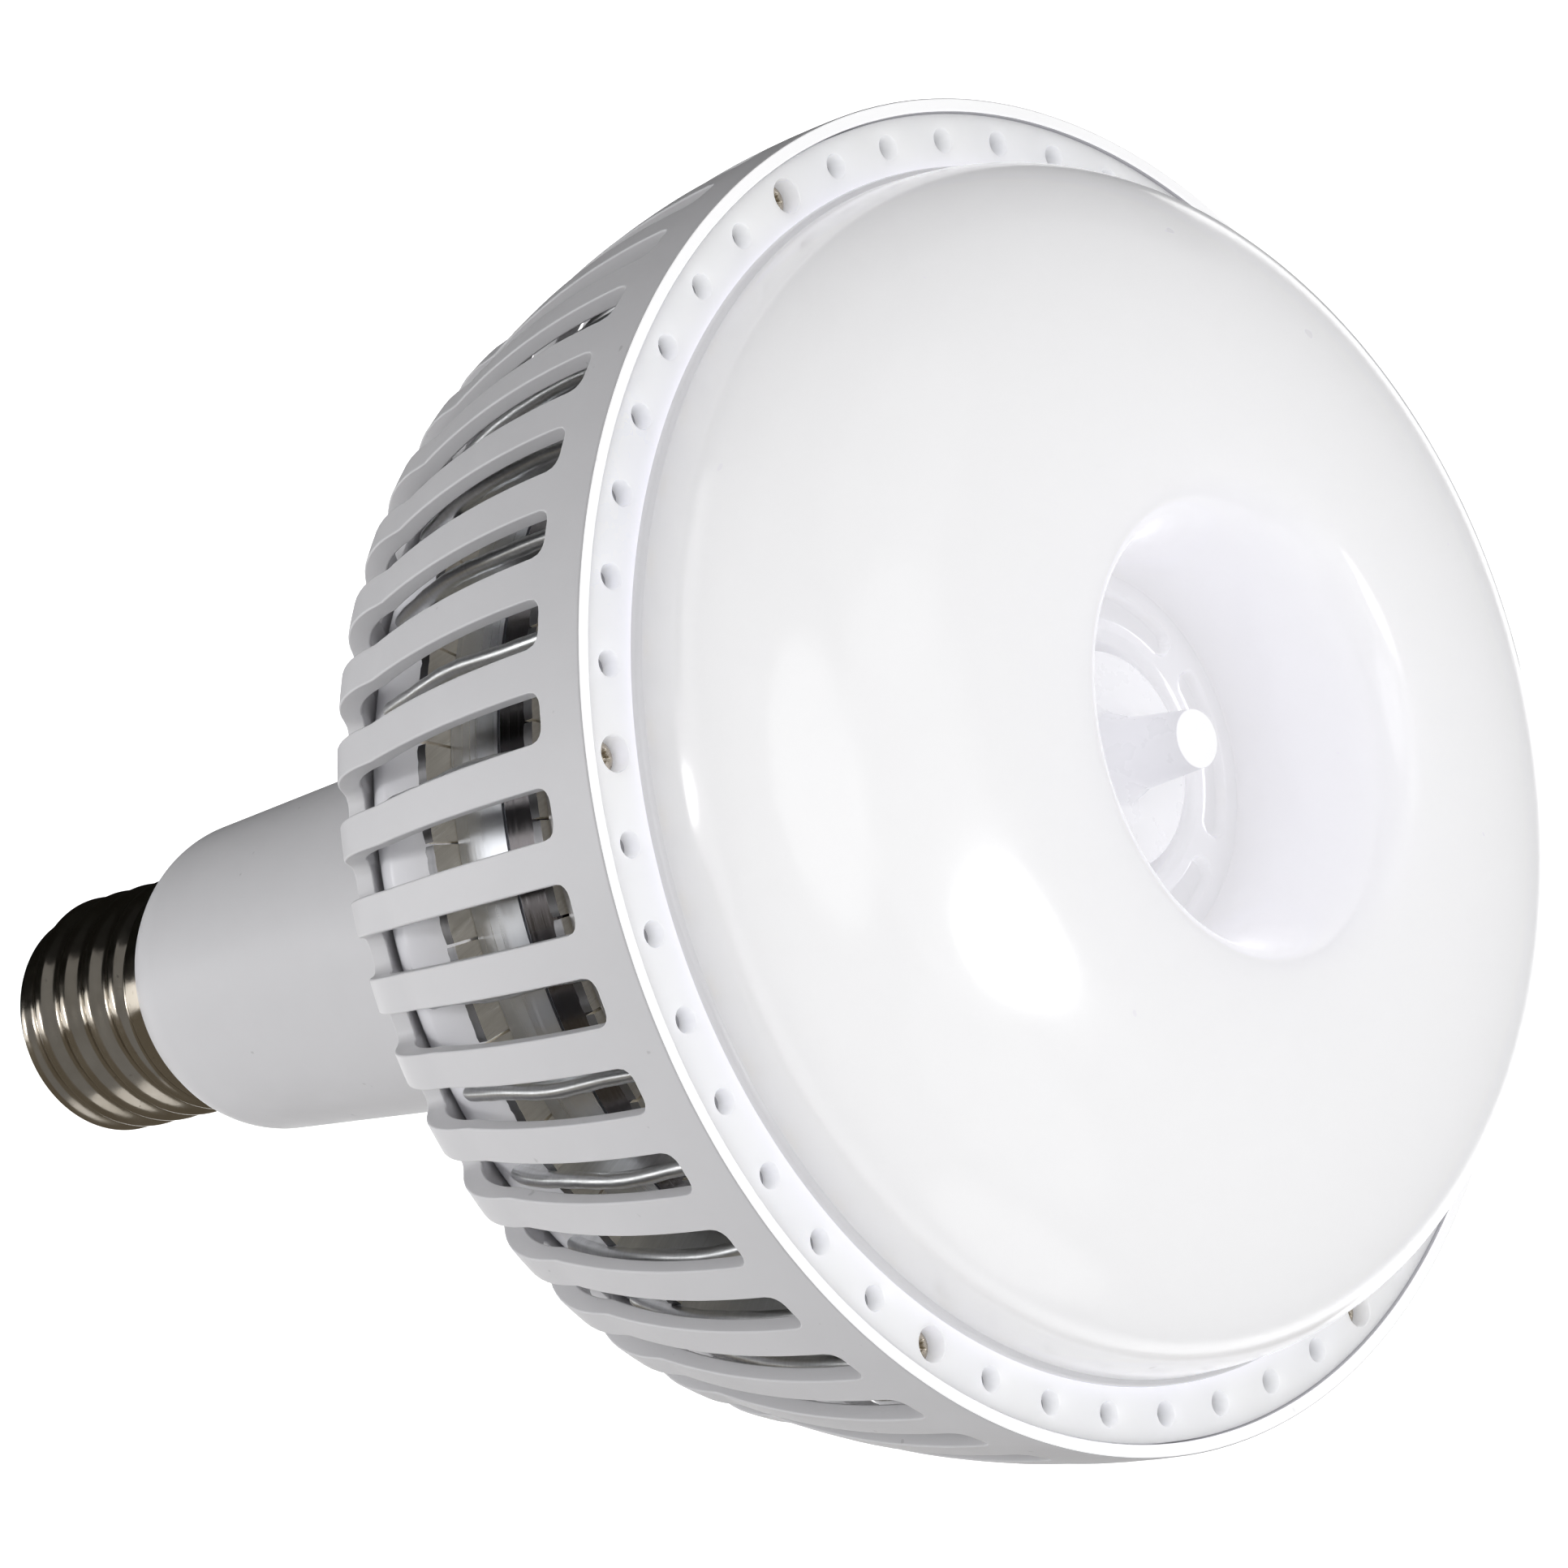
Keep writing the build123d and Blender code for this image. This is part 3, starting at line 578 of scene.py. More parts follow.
def thread_shell():
    """The whole screw shell, with its rolled thread and a lip turned inwards at its end."""
    verts, faces = [], []
    for row in range(shell_rows + 1):
        share = 1 - (1 - row / shell_rows) ** 1.15
        height = shell_high[2] - (shell_high[2] - shell_low[2]) * share
        for step in range(shell_steps):
            angle = math.tau * step / shell_steps
            radius = thread_radius(angle, height)
            verts.append(polar(radius - crimp(angle, height, radius), angle, height))
    for row in range(shell_rows):
        faces += band(row * shell_steps, (row + 1) * shell_steps, shell_steps)
    last = shell_rows * shell_steps
    inner = len(verts)
    for inset, lift in ((0.15 * MM, 0.35 * MM), (0.2 * MM, 1.5 * MM)):
        for step in range(shell_steps):
            angle = math.tau * step / shell_steps
            verts.append(polar(end_radius - inset, angle, shell_low[2] + lift))
    faces += band(last, inner, shell_steps)
    faces += band(inner, inner + shell_steps, shell_steps)
    return verts, faces


piece("thread_shell", *thread_shell(), "screw_shell", "nickel_shell", nickel.material, 60)

# ---- neck -----------------------------------------------------------------------------------

neck_at_rim, neck_taper = 36.56, 0.0656


def neck_radius(depth):
    """Radius of the tapered neck at a depth below the rim's plane, in millimetres."""
    return neck_at_rim - neck_taper * depth


neck_profile = [(neck_radius(73.4) + 0.02, -73.0)]
neck_profile += [(neck_radius(depth), -depth) for depth in (100, 130, 160, 175.5)]
neck_profile += arc(neck_profile[-1], (24.0, -179.8), (21.9, -183.4), 12)[1:]
neck_profile += [(21.65, -183.85), (21.3, -184.0), (17.2, -184.0)]
neck_end = neck_low[2]
neck_points = [(radius, max(height, neck_end)) for radius, height in at_rim(neck_profile)]
piece("neck_shell", *spin(neck_points, 192), "neck_housing", "housing_shell", housing.material, 50)

# ---- cage -----------------------------------------------------------------------------------

edge = rim_radius / MM
flange_top, shelf_top, boss_seat, shelf_bottom = -0.6, -3.6, -5.2, -6.8
floor_of_cage = -68.4
collar_radius = 32.4
side_end = (edge - 9.2, -51.5)
skin_outer = arc((edge, 0.0), (edge - 2.1, -25.0), side_end, 26)
skin_outer += arc(side_end, (81.6, -63.9), (73.0, -70.2), 14)[1:]
skin_outer += [(66.0, -70.73), (55.0, -71.6), (44.0, -72.5), (collar_radius, -73.4)]
inner_end = (edge - 11.7, -50.8)
skin_inner = [(edge - 1.95, 0.0), (edge - 1.95, shelf_top), (edge - 2.2, boss_seat)]
skin_inner += arc((edge - 2.85, shelf_bottom), (edge - 4.6, -25.9), inner_end, 22)
skin_inner += arc(inner_end, (79.4, -61.6), (69.0, floor_of_cage), 12)[1:]
skin_inner += [(60.0, floor_of_cage), (46.0, floor_of_cage), (collar_radius, floor_of_cage)]


class Track:
    """A profile measured along its length."""

    def __init__(self, points):
        self.points = points
        self.marks = [0.0]
        for a, b in zip(points, points[1:]):
            self.marks.append(self.marks[-1] + math.dist(a, b))
        self.length = self.marks[-1]

    def at(self, mark):
        """The point at a distance along the profile."""
        for index in range(len(self.points) - 1):
            if mark <= self.marks[index + 1] or index == len(self.points) - 2:
                t = (mark - self.marks[index]) / (self.marks[index + 1] - self.marks[index])
                (r0, z0), (r1, z1) = self.points[index], self.points[index + 1]
                return (r0 + (r1 - r0) * t, z0 + (z1 - z0) * t)

    def find(self, test):
        """First mark at which the test turns true."""
        steps = 4000
        for step in range(steps + 1):
            mark = self.length * step / steps
            if test(*self.at(mark)):
                return mark


# A slot is 4 degrees wide with rounded ends: columns are angles across it, and lifts are how
# far its end curves back at each of them, in millimetres along the wall.
half_cell = CELL / 2
half_slot = 2.0
corner_angle = 1.24
corner_length = 2.0
rounds = (0.0, 22.5, 45.0, 67.5, 90.0)
left_columns = [-half_slot + corner_angle * (1 - math.cos(math.radians(a))) for a in rounds]
columns = left_columns + [0.0] + [-value for value in reversed(left_columns)]
lifts = [corner_length * (1 - math.sin(math.radians(a))) for a in rounds]
lifts = lifts + [0.0] + lifts[::-1]
cell_width = len(columns) + 2
front_rows, rib_rows, rear_rows = 5, 34, 8


def slotted_skin(track, front, rear):
    """One cell of a wall with a slot: vertices as (angle, radius, height), faces, slot edge."""
    grid, cell_faces = [], []
    across = [-half_cell] + columns + [half_cell]

    def row(marks):
        base = len(grid)
        grid.extend(zip(across, marks))
        return base

    def rows_between(bases):
        for a, b in zip(bases, bases[1:]):
            cell_faces.extend(strip(a, b, cell_width - 1))

    bases = [row([front * step / front_rows] * cell_width) for step in range(front_rows)]
    rounded = [corner_length] + lifts + [corner_length]
    front_edge = row([front + lift for lift in rounded])
    rows_between(bases + [front_edge])
    rear_edge = row([rear - lift for lift in rounded])
    left_line, right_line = [front_edge + 1], [front_edge + cell_width - 2]
    outer_left, outer_right = front_edge, front_edge + cell_width - 1
    for step in range(1, rib_rows + 1):
        if step < rib_rows:
            mark = front + corner_length + (rear - front - 2 * corner_length) * step / rib_rows
            base = len(grid)
            grid.extend((angle, mark) for angle in (-half_cell, -half_slot, half_slot, half_cell))
            ids = (base, base + 1, base + 2, base + 3)
        else:
            rear_right = rear_edge + cell_width - 1
            ids = (rear_edge, rear_edge + 1, rear_right - 1, rear_right)
        cell_faces.append((outer_left, left_line[-1], ids[1], ids[0]))
        cell_faces.append((right_line[-1], outer_right, ids[3], ids[2]))
        left_line.append(ids[1])
        right_line.append(ids[2])
        outer_left, outer_right = ids[0], ids[3]
    bases = [rear_edge]
    for step in range(1, rear_rows + 1):
        bases.append(row([rear + (track.length - rear) * step / rear_rows] * cell_width))
    rows_between(bases)
    loop = [front_edge + 1 + k for k in range(cell_width - 2)]
    loop += right_line[1:]
    loop += [rear_edge + 1 + k for k in range(cell_width - 3, -1, -1)][1:]
    loop += left_line[::-1][1:-1]
    return [(angle, *track.at(mark)) for angle, mark in grid], cell_faces, loop


slot_front, slot_rear = -8.0, 75.6
outer_track = Track(skin_outer)
inner_track = Track(skin_inner)
outer_cell = slotted_skin(
    outer_track,
    outer_track.find(lambda r, z: z <= slot_front),
    outer_track.find(lambda r, z: r <= slot_rear),
)
inner_cell = slotted_skin(
    inner_track,
    inner_track.find(lambda r, z: z <= slot_front),
    inner_track.find(lambda r, z: r <= slot_rear and z < -20),
)


def slotted_wall():
    """The cage's wall: an outer and an inner skin, joined round every slot and at both ends."""
    verts, faces = [], []
    for cell in range(SLOTS):
        middle = (cell + 0.5) * CELL
        starts = []
        for placed, cell_faces, loop in (outer_cell, inner_cell):
            base = len(verts)
            starts.append(base)
            for a, r, z in placed:
                verts.append(polar(r * MM, math.radians(middle + a), rim_z + z * MM))
            faces.extend(tuple(base + k for k in face) for face in cell_faces)
        outer, inner = starts
        outer_loop = [outer + k for k in outer_cell[2]]
        inner_loop = [inner + k for k in inner_cell[2]]
        for k, (a, b) in enumerate(zip(outer_loop, inner_loop)):
            n = (k + 1) % len(outer_loop)
            faces.append((a, outer_loop[n], inner_loop[n], b))
        faces += strip(outer, inner, cell_width - 1)
        faces += strip(inner - cell_width, len(verts) - cell_width, cell_width - 1)
    return verts, faces


def look_above_level(made, level, look):
    """Gives the faces of a piece that lie above a level a second material."""
    made.data.materials.append(look.material)
    for face in made.data.polygons:
        if all(made.data.vertices[index].co.z > level for index in face.vertices):
            face.material_index = 1


wall = slotted_wall()
cage = piece("cage_wall", *wall, "vent_cage", "housing_shell", housing.material, 50, 1e-5)
# The rim's front face gets the glowing whiter white, which is painted light.
look_above_level(cage, rim_z - 0.05 * MM, painted_light_white)
soft_edges(cage, 0.32 * MM, 3, 42)


border_rows = 8


def cell_border(inner_r, outer_r):
    """Points round one cell of a flat ring, as (radius, angle in degrees)."""
    rows = border_rows
    border = [(outer_r, -half_cell + 2 * half_cell * k / rows) for k in range(rows)]
    border += [(outer_r + (inner_r - outer_r) * k / rows, half_cell) for k in range(rows)]
    border += [(inner_r, half_cell - 2 * half_cell * k / rows) for k in range(rows)]
    border += [(inner_r + (outer_r - inner_r) * k / rows, -half_cell) for k in range(rows)]
    return border


def perforated(inner_r, outer_r, low, high, holes):
    """A flat ring with a round hole in each cell. holes gives its steps as (radius, height)."""
    verts, faces = [], []
    border = cell_border(inner_r, outer_r)
    total = len(border)
    for cell in range(SLOTS):
        middle = math.radians(cell * CELL)
        centre = Vector(polar(SCREW_CIRCLE, middle, 0))
        loops = []
        for radius, height in [(None, high)] + holes(cell) + [(None, low)]:
            loops.append(len(verts))
            for k, (r, a) in enumerate(border):
                if radius is None:
                    x, y, _ = polar(r, middle + math.radians(a), 0)
                else:
                    turned_by = middle - math.pi / 4 + math.tau * k / total
                    x = centre.x + radius * math.cos(turned_by)
                    y = centre.y + radius * math.sin(turned_by)
                verts.append((x * MM, y * MM, rim_z + height * MM))
        for a, b in zip(loops, loops[1:]):
            faces += band(a, b, total)
        top, bottom = loops[0], loops[-1]
        for first in (0, 2 * border_rows):
            faces += strip(top + first, bottom + first, border_rows)
    return verts, faces


def shelf_hole(cell):
    """A screw's pocket every eighth cell, and a vent in the others."""
    if cell % CELLS_PER_SCREW == 0:
        return [(3.25, shelf_top), (3.25, boss_seat), (1.4, boss_seat), (1.4, shelf_bottom)]
    return [(1.9, shelf_top), (1.9, shelf_bottom)]


shelf = perforated(86.4, edge - 2.0, shelf_bottom, shelf_top, shelf_hole)
piece("cage_shelf", *shelf, "vent_cage", "housing_shell", housing.material, 40)

# ---- diffuser -------------------------------------------------------------------------------

crest = (crest_z - rim_z) / MM
crest_ring = 37.0
throat = (28.4, 10.0)
ledge_outer, ledge_inner, ledge_height = 27.0, 18.9, 4.5
ledge_steps = 56
bore = 17.5
spreader_face = -7.3
lens_line = [(86.2, flange_top), (86.1, 0.1), (85.75, 0.45), (85.3, 0.55)]
lens_line += superellipse((85.2, 0.9), (crest_ring, crest), 2.3, 56)
lens_line += superellipse(throat, (crest_ring, crest), 3.0, 22)[::-1][1:]
throat_line = [throat, (28.1, 7.6), (27.7, 5.9), (27.3, ledge_height), (ledge_outer, ledge_height)]
lens_line += eased(throat_line, 0.5, 4)[1:]
for step in range(1, ledge_steps + 1):
    reach_in = (ledge_inner - ledge_outer) * step / ledge_steps
    lens_line.append((ledge_outer + reach_in, ledge_height))
lens_line += eased([(ledge_inner, ledge_height), (18.2, 4.1), (bore, 3.5), (bore, 2.0)], 0.5, 4)[1:]
lens_line += [(bore, -1.0), (bore, spreader_face), (19.5, spreader_face), (19.5, -4.4)]
lens_line += [(83.2, -4.4), (84.0, shelf_top), (86.2, shelf_top)]


def flange_hole(cell):
    """A screw's deep recess and boss every eighth cell, and a vent in the others."""
    if cell % CELLS_PER_SCREW == 0:
        recess = [(2.6, flange_top), (2.48, -0.72), (2.45, -4.3), (1.5, -4.4)]
        return recess + [(1.5, boss_seat), (3.2, boss_seat), (3.2, shelf_top)]
    return [(2.05, flange_top), (1.82, -0.68), (1.7, -0.95), (1.7, shelf_top)]


pocket_count = 5
pocket_circle = 22.7
pocket_half_width = 2.0
pocket_half_sweep = 25.5
pocket_phase = 28.0
pocket_floor = 1.6
pocket_edge = 0.45


def pocket_depth(x, y):
    """How far a point in millimetres sits down in one of the ledge's kidney-shaped pockets."""
    angle = math.degrees(math.atan2(y, x)) - pocket_phase
    pitch = 360 / pocket_count
    beyond = max(abs((angle + pitch / 2) % pitch - pitch / 2) - pocket_half_sweep, 0)
    along = math.radians(beyond) * pocket_circle
    outside = math.hypot(math.hypot(x, y) - pocket_circle, along) - pocket_half_width
    share = min(max(0.5 - outside / pocket_edge, 0), 1)
    return pocket_floor * share * share * (3 - 2 * share)


lens_verts, lens_faces = spin(at_rim(lens_line), 480, True)
level_of_ledge = rim_z + ledge_height * MM
for index, (x, y, z) in enumerate(lens_verts):
    if abs(z - level_of_ledge) < 1e-6:
        lens_verts[index] = (x, y, z - pocket_depth(x / MM, y / MM) * MM)
piece("dome_shell", lens_verts, lens_faces, "diffuser_lens", "diffuser", dome.material, 60)
flange = perforated(86.2, 93.8, shelf_top, flange_top, flange_hole)
piece("dome_flange", *flange, "diffuser_lens", "diffuser", frosted.material, 35)

# ---- centre cap and peg ---------------------------------------------------------------------

disc_low, disc_high, disc_edge, stem = 3.2, 5.2, 15.5, 5.0
peg_top = (cap_high[2] - rim_z) / MM
disc_line = [(stem, disc_low), (disc_edge, disc_low), (disc_edge, disc_high)]
disc_line += [(9.2, disc_high), (6.6, 6.2), (5.25, 9.4)]
cap_line = [(4.0, spreader_face), (stem, spreader_face), (stem, disc_low)]
cap_line += eased(disc_line, 0.5, 3)[1:]
cap_line += [(4.9, 12.0), (4.45, 17.0)]
cap_line += eased([(4.45, 17.0), (4.05, peg_top), (0.0, peg_top)], 0.45, 4)[1:]
cap_parts = spin(at_rim(cap_line), 96)
cap = piece("cap_and_peg", *cap_parts, "center_cap", "cap_plastic", cap_white.material, 45)
# The peg's tip gets the glowing whiter white, which is painted light.
look_above_level(cap, cap_high[2] - 0.5 * MM, painted_light_white)

# ---- lens screws ----------------------------------------------------------------------------

head_z = rim_z - 4.1 * MM
head_radius = 2.25 * MM
head_height = 1.3 * MM
head_crown = 0.75 * MM
recess_depth = 0.95 * MM
head_rings, head_steps = 26, 64


def cross_depth(x, y):
    """How deep the cross recess is at a point of the head, from 0 to 1."""
    reach = max(abs(x), abs(y))
    slim = min(abs(x), abs(y))
    arm = min(max((1.25 * MM - reach) / (0.45 * MM), 0), 1)
    wall = min(max((0.36 * MM - slim) / (0.12 * MM), 0), 1)
    centre = min(max((0.62 * MM - reach) / (0.2 * MM), 0), 1)
    return max(arm * wall, centre * min(max((1.05 * MM - reach - slim) / (0.2 * MM), 0), 1))


def screw_head(number):
    """One lens screw's crowned head with its cross recess, turned at random."""
    twist = random.Random(number + 11).uniform(0, math.pi / 2)
    centre = Vector(polar(SCREW_CIRCLE * MM, math.radians(360 / SCREW_COUNT * number), 0))
    verts, faces = [], []
    for ring in range(head_rings + 1):
        radius = head_radius * ring / head_rings
        crown = head_height - head_crown * (ring / head_rings) ** 3.2
        shallow = 1 - 0.35 * radius / head_height
        for step in range(head_steps):
            angle = math.tau * step / head_steps
            x, y = radius * math.cos(angle), radius * math.sin(angle)
            height = crown - recess_depth * cross_depth(x, y) * shallow
            px = centre.x + x * math.cos(twist) - y * math.sin(twist)
            py = centre.y + x * math.sin(twist) + y * math.cos(twist)
            verts.append((px, py, head_z + height))
    for step in range(head_steps):
        angle = math.tau * step / head_steps + twist
        x, y = head_radius * math.cos(angle), head_radius * math.sin(angle)
        verts.append((centre.x + x, centre.y + y, head_z))
    for ring in range(head_rings + 1):
        faces += band(ring * head_steps, (ring + 1) * head_steps, head_steps)
    return verts, faces


heads = joined([screw_head(number) for number in range(SCREW_COUNT)])
piece("lens_screw_heads", *heads, "lens_screws", "screw_nickel", screw_metal.material, 50, 1e-7)

# ---- heat sink ------------------------------------------------------------------------------

stack_radius = 75.5
stack_bore = 60.0
cup_rear, cup_front, cup_floor = -68.4, -49.1, -54.1
cup_line = [(44.4, cup_rear), (68.0, cup_rear), (71.6, -67.4), (74.2, -65.0)]
cup_line += [(stack_radius, -61.4), (stack_radius, cup_front), (stack_bore, cup_front)]
cup_line += [(stack_bore, cup_floor), (73.5, cup_floor), (73.5, -61.0)]
cup = spin(at_rim(eased(cup_line, 0.6)), 256)
piece("white_drum", *cup, "carrier_cup", "cup_plastic", cup_gloss.material, 60)


def stack_band(name, low, high, node, slot, look):
    """A turned ring of the stack, with a small bevel behind and a groove at its front edge."""
    low_z, high_z = (low[2] - rim_z) / MM, (high[2] - rim_z) / MM
    outside = drum_radius / MM
    bevel, groove_width, groove_depth = 0.12, 0.45, 0.55
    line = [(stack_bore, low_z), (outside - bevel, low_z), (outside, low_z + bevel)]
    line += [(outside, high_z - groove_width), (outside - groove_depth, high_z - groove_width)]
    line += [(outside - groove_depth, high_z), (stack_bore, high_z)]
    piece(name, *spin(at_rim(line), 256, True), node, slot, look.material, 30)


stack_band("turned_band", core_low, core_high, "core_ring", "turned_aluminium", turned)
stack_band("polished_band", spacer_low, spacer_high, "spacer_ring", "polished_aluminium", polished_painted_dark)

spreader_line = [(0.0, -10.3), (stack_bore, -10.3), (stack_bore, -29.6), (75.2, -29.6)]
spreader_line += [(stack_radius, -29.3), (stack_radius, -12.3), (75.8, -11.2), (76.6, -10.5)]
spreader_line += [(77.6, -10.3), (85.4, -10.3), (85.8, -9.9), (85.8, -7.6), (85.5, spreader_face)]
spreader_line += [(0.0, spreader_face)]
disc = spin(at_rim(spreader_line), 256)
finished = spreader_metal.material
piece("spreader_disc", *disc, "heat_spreader", "spreader_aluminium", finished, 30)

fin_steps = 30
fin_arc = arc((84.3, -12.0), (83.6, -38.0), (77.4, -58.0), fin_steps)
fin_root = 75.6
half_sheet = 0.5
hem_sides = 16
hem_radius = 1.25
first_fin = 7.1
tab_angle = 9.7
tab_steps = 18
tab_rows = ((-49.1, -47.5, 67.0, 80.0), (-31.2, -29.6, 67.0, 76.9))
tab_face_radius = 76.0


def fin_bow(number, index, lean):
    """How far a fin bends sideways at a point of its edge, in millimetres."""
    return 0.22 * math.sin(index * 0.42 + number) + lean * (index / fin_steps - 0.5)


def fin_plate(number, outward, sideways, lean):
    """The sheet of one fin, from the stack to its outer edge."""
    verts, faces = [], []
    for index, (radius, height) in enumerate(fin_arc):
        bow = fin_bow(number, index, lean)
        for side, out, bend in (
            (-half_sheet, radius, bow),
            (half_sheet, radius, bow),
            (half_sheet, fin_root, 0),
            (-half_sheet, fin_root, 0),
        ):
            spot = outward * out * MM + sideways * (side + bend) * MM
            verts.append((spot.x, spot.y, rim_z + height * MM))
    for index in range(fin_steps):
        faces += band(index * 4, (index + 1) * 4, 4)
    end = fin_steps * 4
    return verts, faces + [(0, 1, 2, 3), (end, end + 3, end + 2, end + 1)]


def fin_hem(number, outward, sideways, lean):
    """The rolled hem along a fin's edge, a little uneven in thickness."""
    verts, faces = [], []
    for index, (radius, height) in enumerate(fin_arc):
        bow = fin_bow(number, index, lean)
        before = fin_arc[max(index - 1, 0)]
        after = fin_arc[min(index + 1, fin_steps)]
        run = Vector((after[0] - before[0], after[1] - before[1])).normalized()
        thick = hem_radius + 0.05 * math.sin(index * 1.7 + number * 2)
        if index in (0, fin_steps):
            thick *= 0.8
        for side in range(hem_sides):
            angle = math.tau * side / hem_sides
            out = radius + thick * math.cos(angle) * -run.y
            up = height + thick * math.cos(angle) * run.x
            aside = bow + thick * 0.9 * math.sin(angle)
            spot = outward * out * MM + sideways * aside * MM
            verts.append((spot.x, spot.y, rim_z + up * MM))
    for index in range(fin_steps):
        faces += band(index * hem_sides, (index + 1) * hem_sides, hem_sides)
    end = fin_steps * hem_sides
    return verts, faces + [tuple(range(hem_sides)), tuple(range(end, end + hem_sides))]


def fin_tab(middle, chance, low, high, near, far):
    """A bent tab that lies across the stack, with a ragged outer edge."""
    verts, faces = [], []
    for step in range(tab_steps + 1):
        angle = middle + math.radians(tab_angle) * (step / tab_steps - 0.5)
        ragged = chance.uniform(-0.16, 0.05) - (0.15 if step in (0, tab_steps) else 0)
        burr = chance.uniform(0, 0.25)
        outer = ((far + ragged, low - burr * 0.5), (far + ragged * 0.4, high))
        for r, z in ((near, low), *outer, (near, high)):
            verts.append(polar(r * MM, angle, rim_z + z * MM))
    for step in range(tab_steps):
        faces += band(step * 4, (step + 1) * 4, 4)
    end = tab_steps * 4
    return verts, faces + [(0, 1, 2, 3), (end, end + 3, end + 2, end + 1)]


plates, hems, tabs = [], [], []
for number in range(FINS):
    chance = random.Random(100 + number)
    middle = math.radians(first_fin + 360 / FINS * number)
    outward = Vector((math.cos(middle), math.sin(middle), 0))
    sideways = Vector((-math.sin(middle), math.cos(middle), 0))
    lean = chance.uniform(-0.25, 0.25)
    plates.append(fin_plate(number, outward, sideways, lean))
    hems.append(fin_hem(number, outward, sideways, lean))
    for tab_row in tab_rows:
        tabs.append(fin_tab(middle, chance, *tab_row))


def fin_piece(name, parts, look, sharp):
    """One piece of all 36 fins."""
    made = joined(parts)
    return piece(name, *made, "heat_sink_fins", "fin_aluminium", look.material, sharp, 1e-7)


fin_piece("fin_plates", plates, fin_metal, 40)
fin_piece("fin_hems", hems, fin_metal, 60)
tab_piece = fin_piece("fin_tabs", tabs, tab_metal, 40)
# The tabs' outward edge faces get the dark metal, which is painted shade.
tab_piece.data.materials.append(tab_edge_shade.material)
for face in tab_piece.data.polygons:
    corners = [tab_piece.data.vertices[index].co for index in face.vertices]
    if min(math.hypot(spot.x, spot.y) for spot in corners) > tab_face_radius * MM:
        face.material_index = 1

# ---- CAD nodes that stay --------------------------------------------------------------------


def dress(node, look):
    """Gives a CAD node its finished material."""
    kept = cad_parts[node]
    kept.data.materials.clear()
    kept.data.materials.append(look.material)


for node, (color, roughness) in inner_looks.items():
    dress(node, moulded(node + "_look", color, roughness, 0.00001, 0.06))
for node in ("neck_screws", "cup_screws", "stack_bolts", "cap_screw"):
    dress(node, zinc)
dress("base_insulator", glass_black)
dress("center_contact", contact_metal)

# ---- studio ---------------------------------------------------------------------------------

scene = bpy.context.scene
scene.view_settings.view_transform = "Standard"
world = bpy.data.worlds.new("studio")
world.use_nodes = True
background = world.node_tree.nodes["Background"]
background.inputs["Color"].default_value = (1.0, 1.0, 1.0, 1)
background.inputs["Strength"].default_value = 0.25
scene.world = world


def stage_piece(name, verts, faces, look, hidden_from=()):
    """A piece of the studio, which the kinds of rays in hidden_from don't see."""
    mesh = bpy.data.meshes.new(name)
    mesh.from_pydata(verts, [], faces)
    mesh.materials.append(look.material)
    made = bpy.data.objects.new(name, mesh)
    scene.collection.objects.link(made)
    for kind in hidden_from:
        setattr(made, "visible_" + kind, False)


paper = Look("paper", (0.95, 0.95, 0.95), 0.9)
paper.tint(paper.ramp(paper.noise(3, 3), 0, 1), (0.93, 0.93, 0.93))
floor_z = -0.60
floor_half = 14.0
floor_corners = [
    (x * floor_half, y * floor_half, floor_z) for x, y in ((-1, -1), (1, -1), (1, 1), (-1, 1))
]
stage_piece("floor", floor_corners, [(0, 1, 2, 3)], paper)

middle_of_lamp = Vector((0, 0, rim_z - 0.04))


def softbox(name, azimuth, elevation, distance, width, height, power, tilt=0.0):
    """An oval light that faces the lamp from a direction."""
    data = bpy.data.lights.new(name, "AREA")
    data.shape = "ELLIPSE"
    data.size = width
    data.size_y = height
    data.energy = power
    lamp = bpy.data.objects.new(name, data)
    a, e = math.radians(azimuth), math.radians(elevation)
    way = Vector((math.cos(e) * math.cos(a), math.cos(e) * math.sin(a), math.sin(e)))
    lamp.location = middle_of_lamp + way * distance
    facing = way.to_track_quat("Z", "Y").to_matrix() @ Matrix.Rotation(math.radians(tilt), 3, "Z")
    lamp.rotation_euler = facing.to_euler()
    lamp.visible_camera = False
    scene.collection.objects.link(lamp)
    return lamp


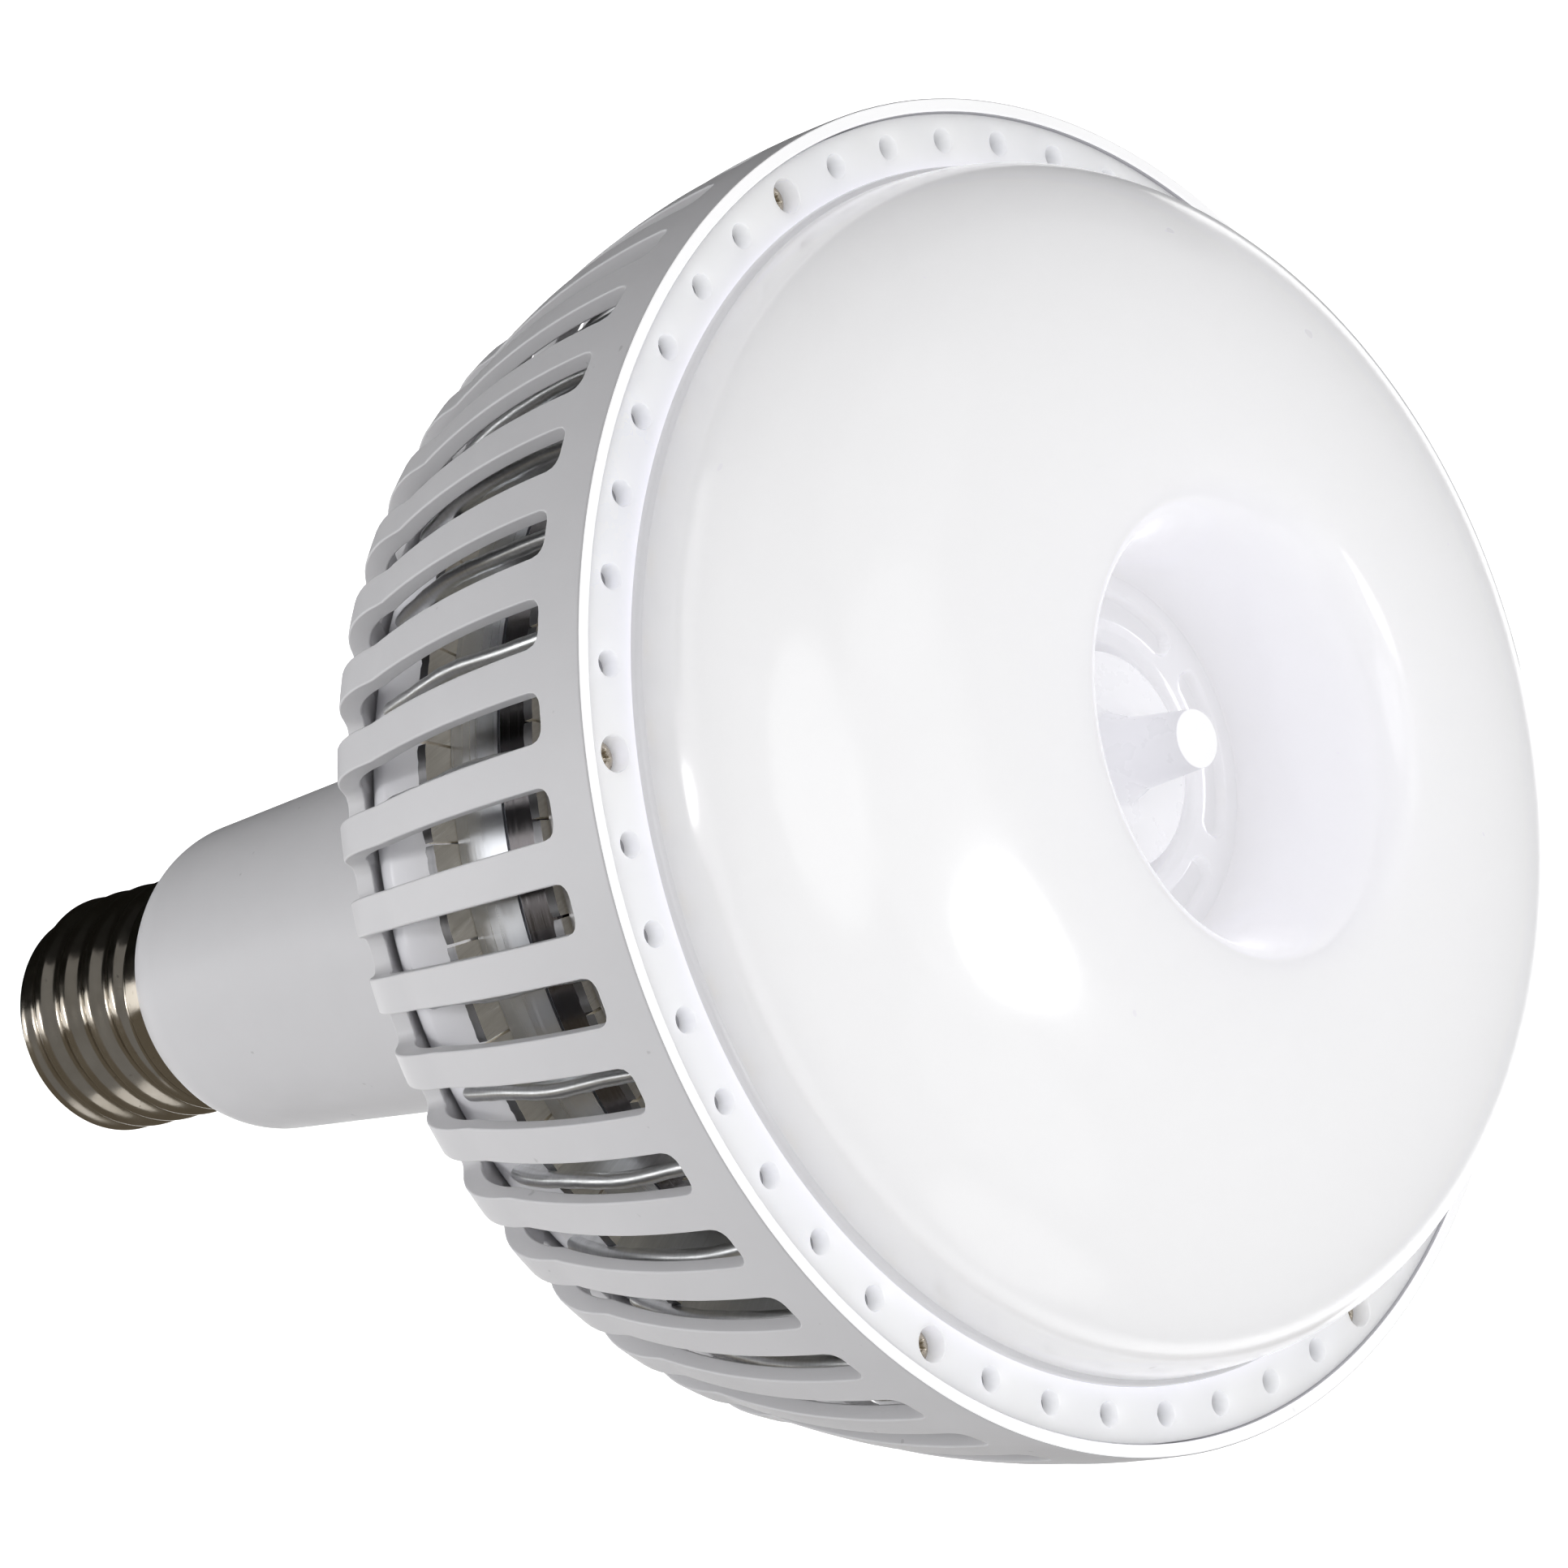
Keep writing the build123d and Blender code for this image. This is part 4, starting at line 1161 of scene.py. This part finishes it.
softbox("key", -147, 72.4, 1.5, 0.30, 0.80, 4.0, 47.5)
softbox("side", 59.3, -23.3, 0.95, 0.13, 0.17, 1.35)
softbox("overhead", 0, 88, 1.6, 1.3, 1.3, 2.6)
softbox("upper_left", 60, 50, 1.6, 1.2, 1.2, 5.2)
softbox("upper_near", 150, 55, 1.6, 1.2, 1.2, 1.6)
softbox("upper_far", -29, 58, 1.6, 1.2, 1.2, 1.2)
softbox("lower_near", 151, 10, 1.5, 1.0, 1.0, 2.0)

# A wide light just below the lamp that faces down and keeps the floor white.
floor_wash = softbox("floor_wash", 0, 90, 1.0, 7.0, 7.0, 162)
floor_wash.location = (0, 0, -0.22)
floor_wash.visible_glossy = False

card_steps = 16
card_line = ((0.02, floor_z + 0.02), (0.45, floor_z + 0.02), (0.45, 0.08))


def card(name, first, last, color):
    """A curved studio card under the lamp that only reflections see."""
    verts, faces = [], []
    for step in range(card_steps + 1):
        angle = math.radians(first + (last - first) * step / card_steps)
        verts += [polar(radius, angle, height) for radius, height in card_line]
    for step in range(card_steps):
        faces += strip(step * 3, (step + 1) * 3, 2)
    sheen = Look(name + "_paper", (0.0, 0.0, 0.0), 1.0)
    sheen.glow(color, 1.0)
    stage_piece(name, verts, faces, sheen, ("camera", "diffuse", "transmission", "shadow"))


flag_radius, flag_low, flag_high = 0.5, -0.5, 0.34
flag_first, flag_turn, flag_steps = -80, 7.5, 12


def shading_flag():
    """A black curved flag on one side of the lamp that keeps light off it."""
    angles = [math.radians(flag_first + flag_turn * step) for step in range(flag_steps + 1)]
    heights = (flag_low, flag_high)
    verts = [polar(flag_radius, angle, height) for angle in angles for height in heights]
    faces = [(2 * step, 2 * step + 2, 2 * step + 3, 2 * step + 1) for step in range(flag_steps)]
    cloth = Look("flag_cloth", (0.01, 0.01, 0.01), 1.0)
    stage_piece("flag", verts, faces, cloth, ("camera",))


card("dark_card", -110, 45, (0.004, 0.004, 0.003))
shading_flag()
card("warm_card", 70, 215, (0.16, 0.14, 0.11))
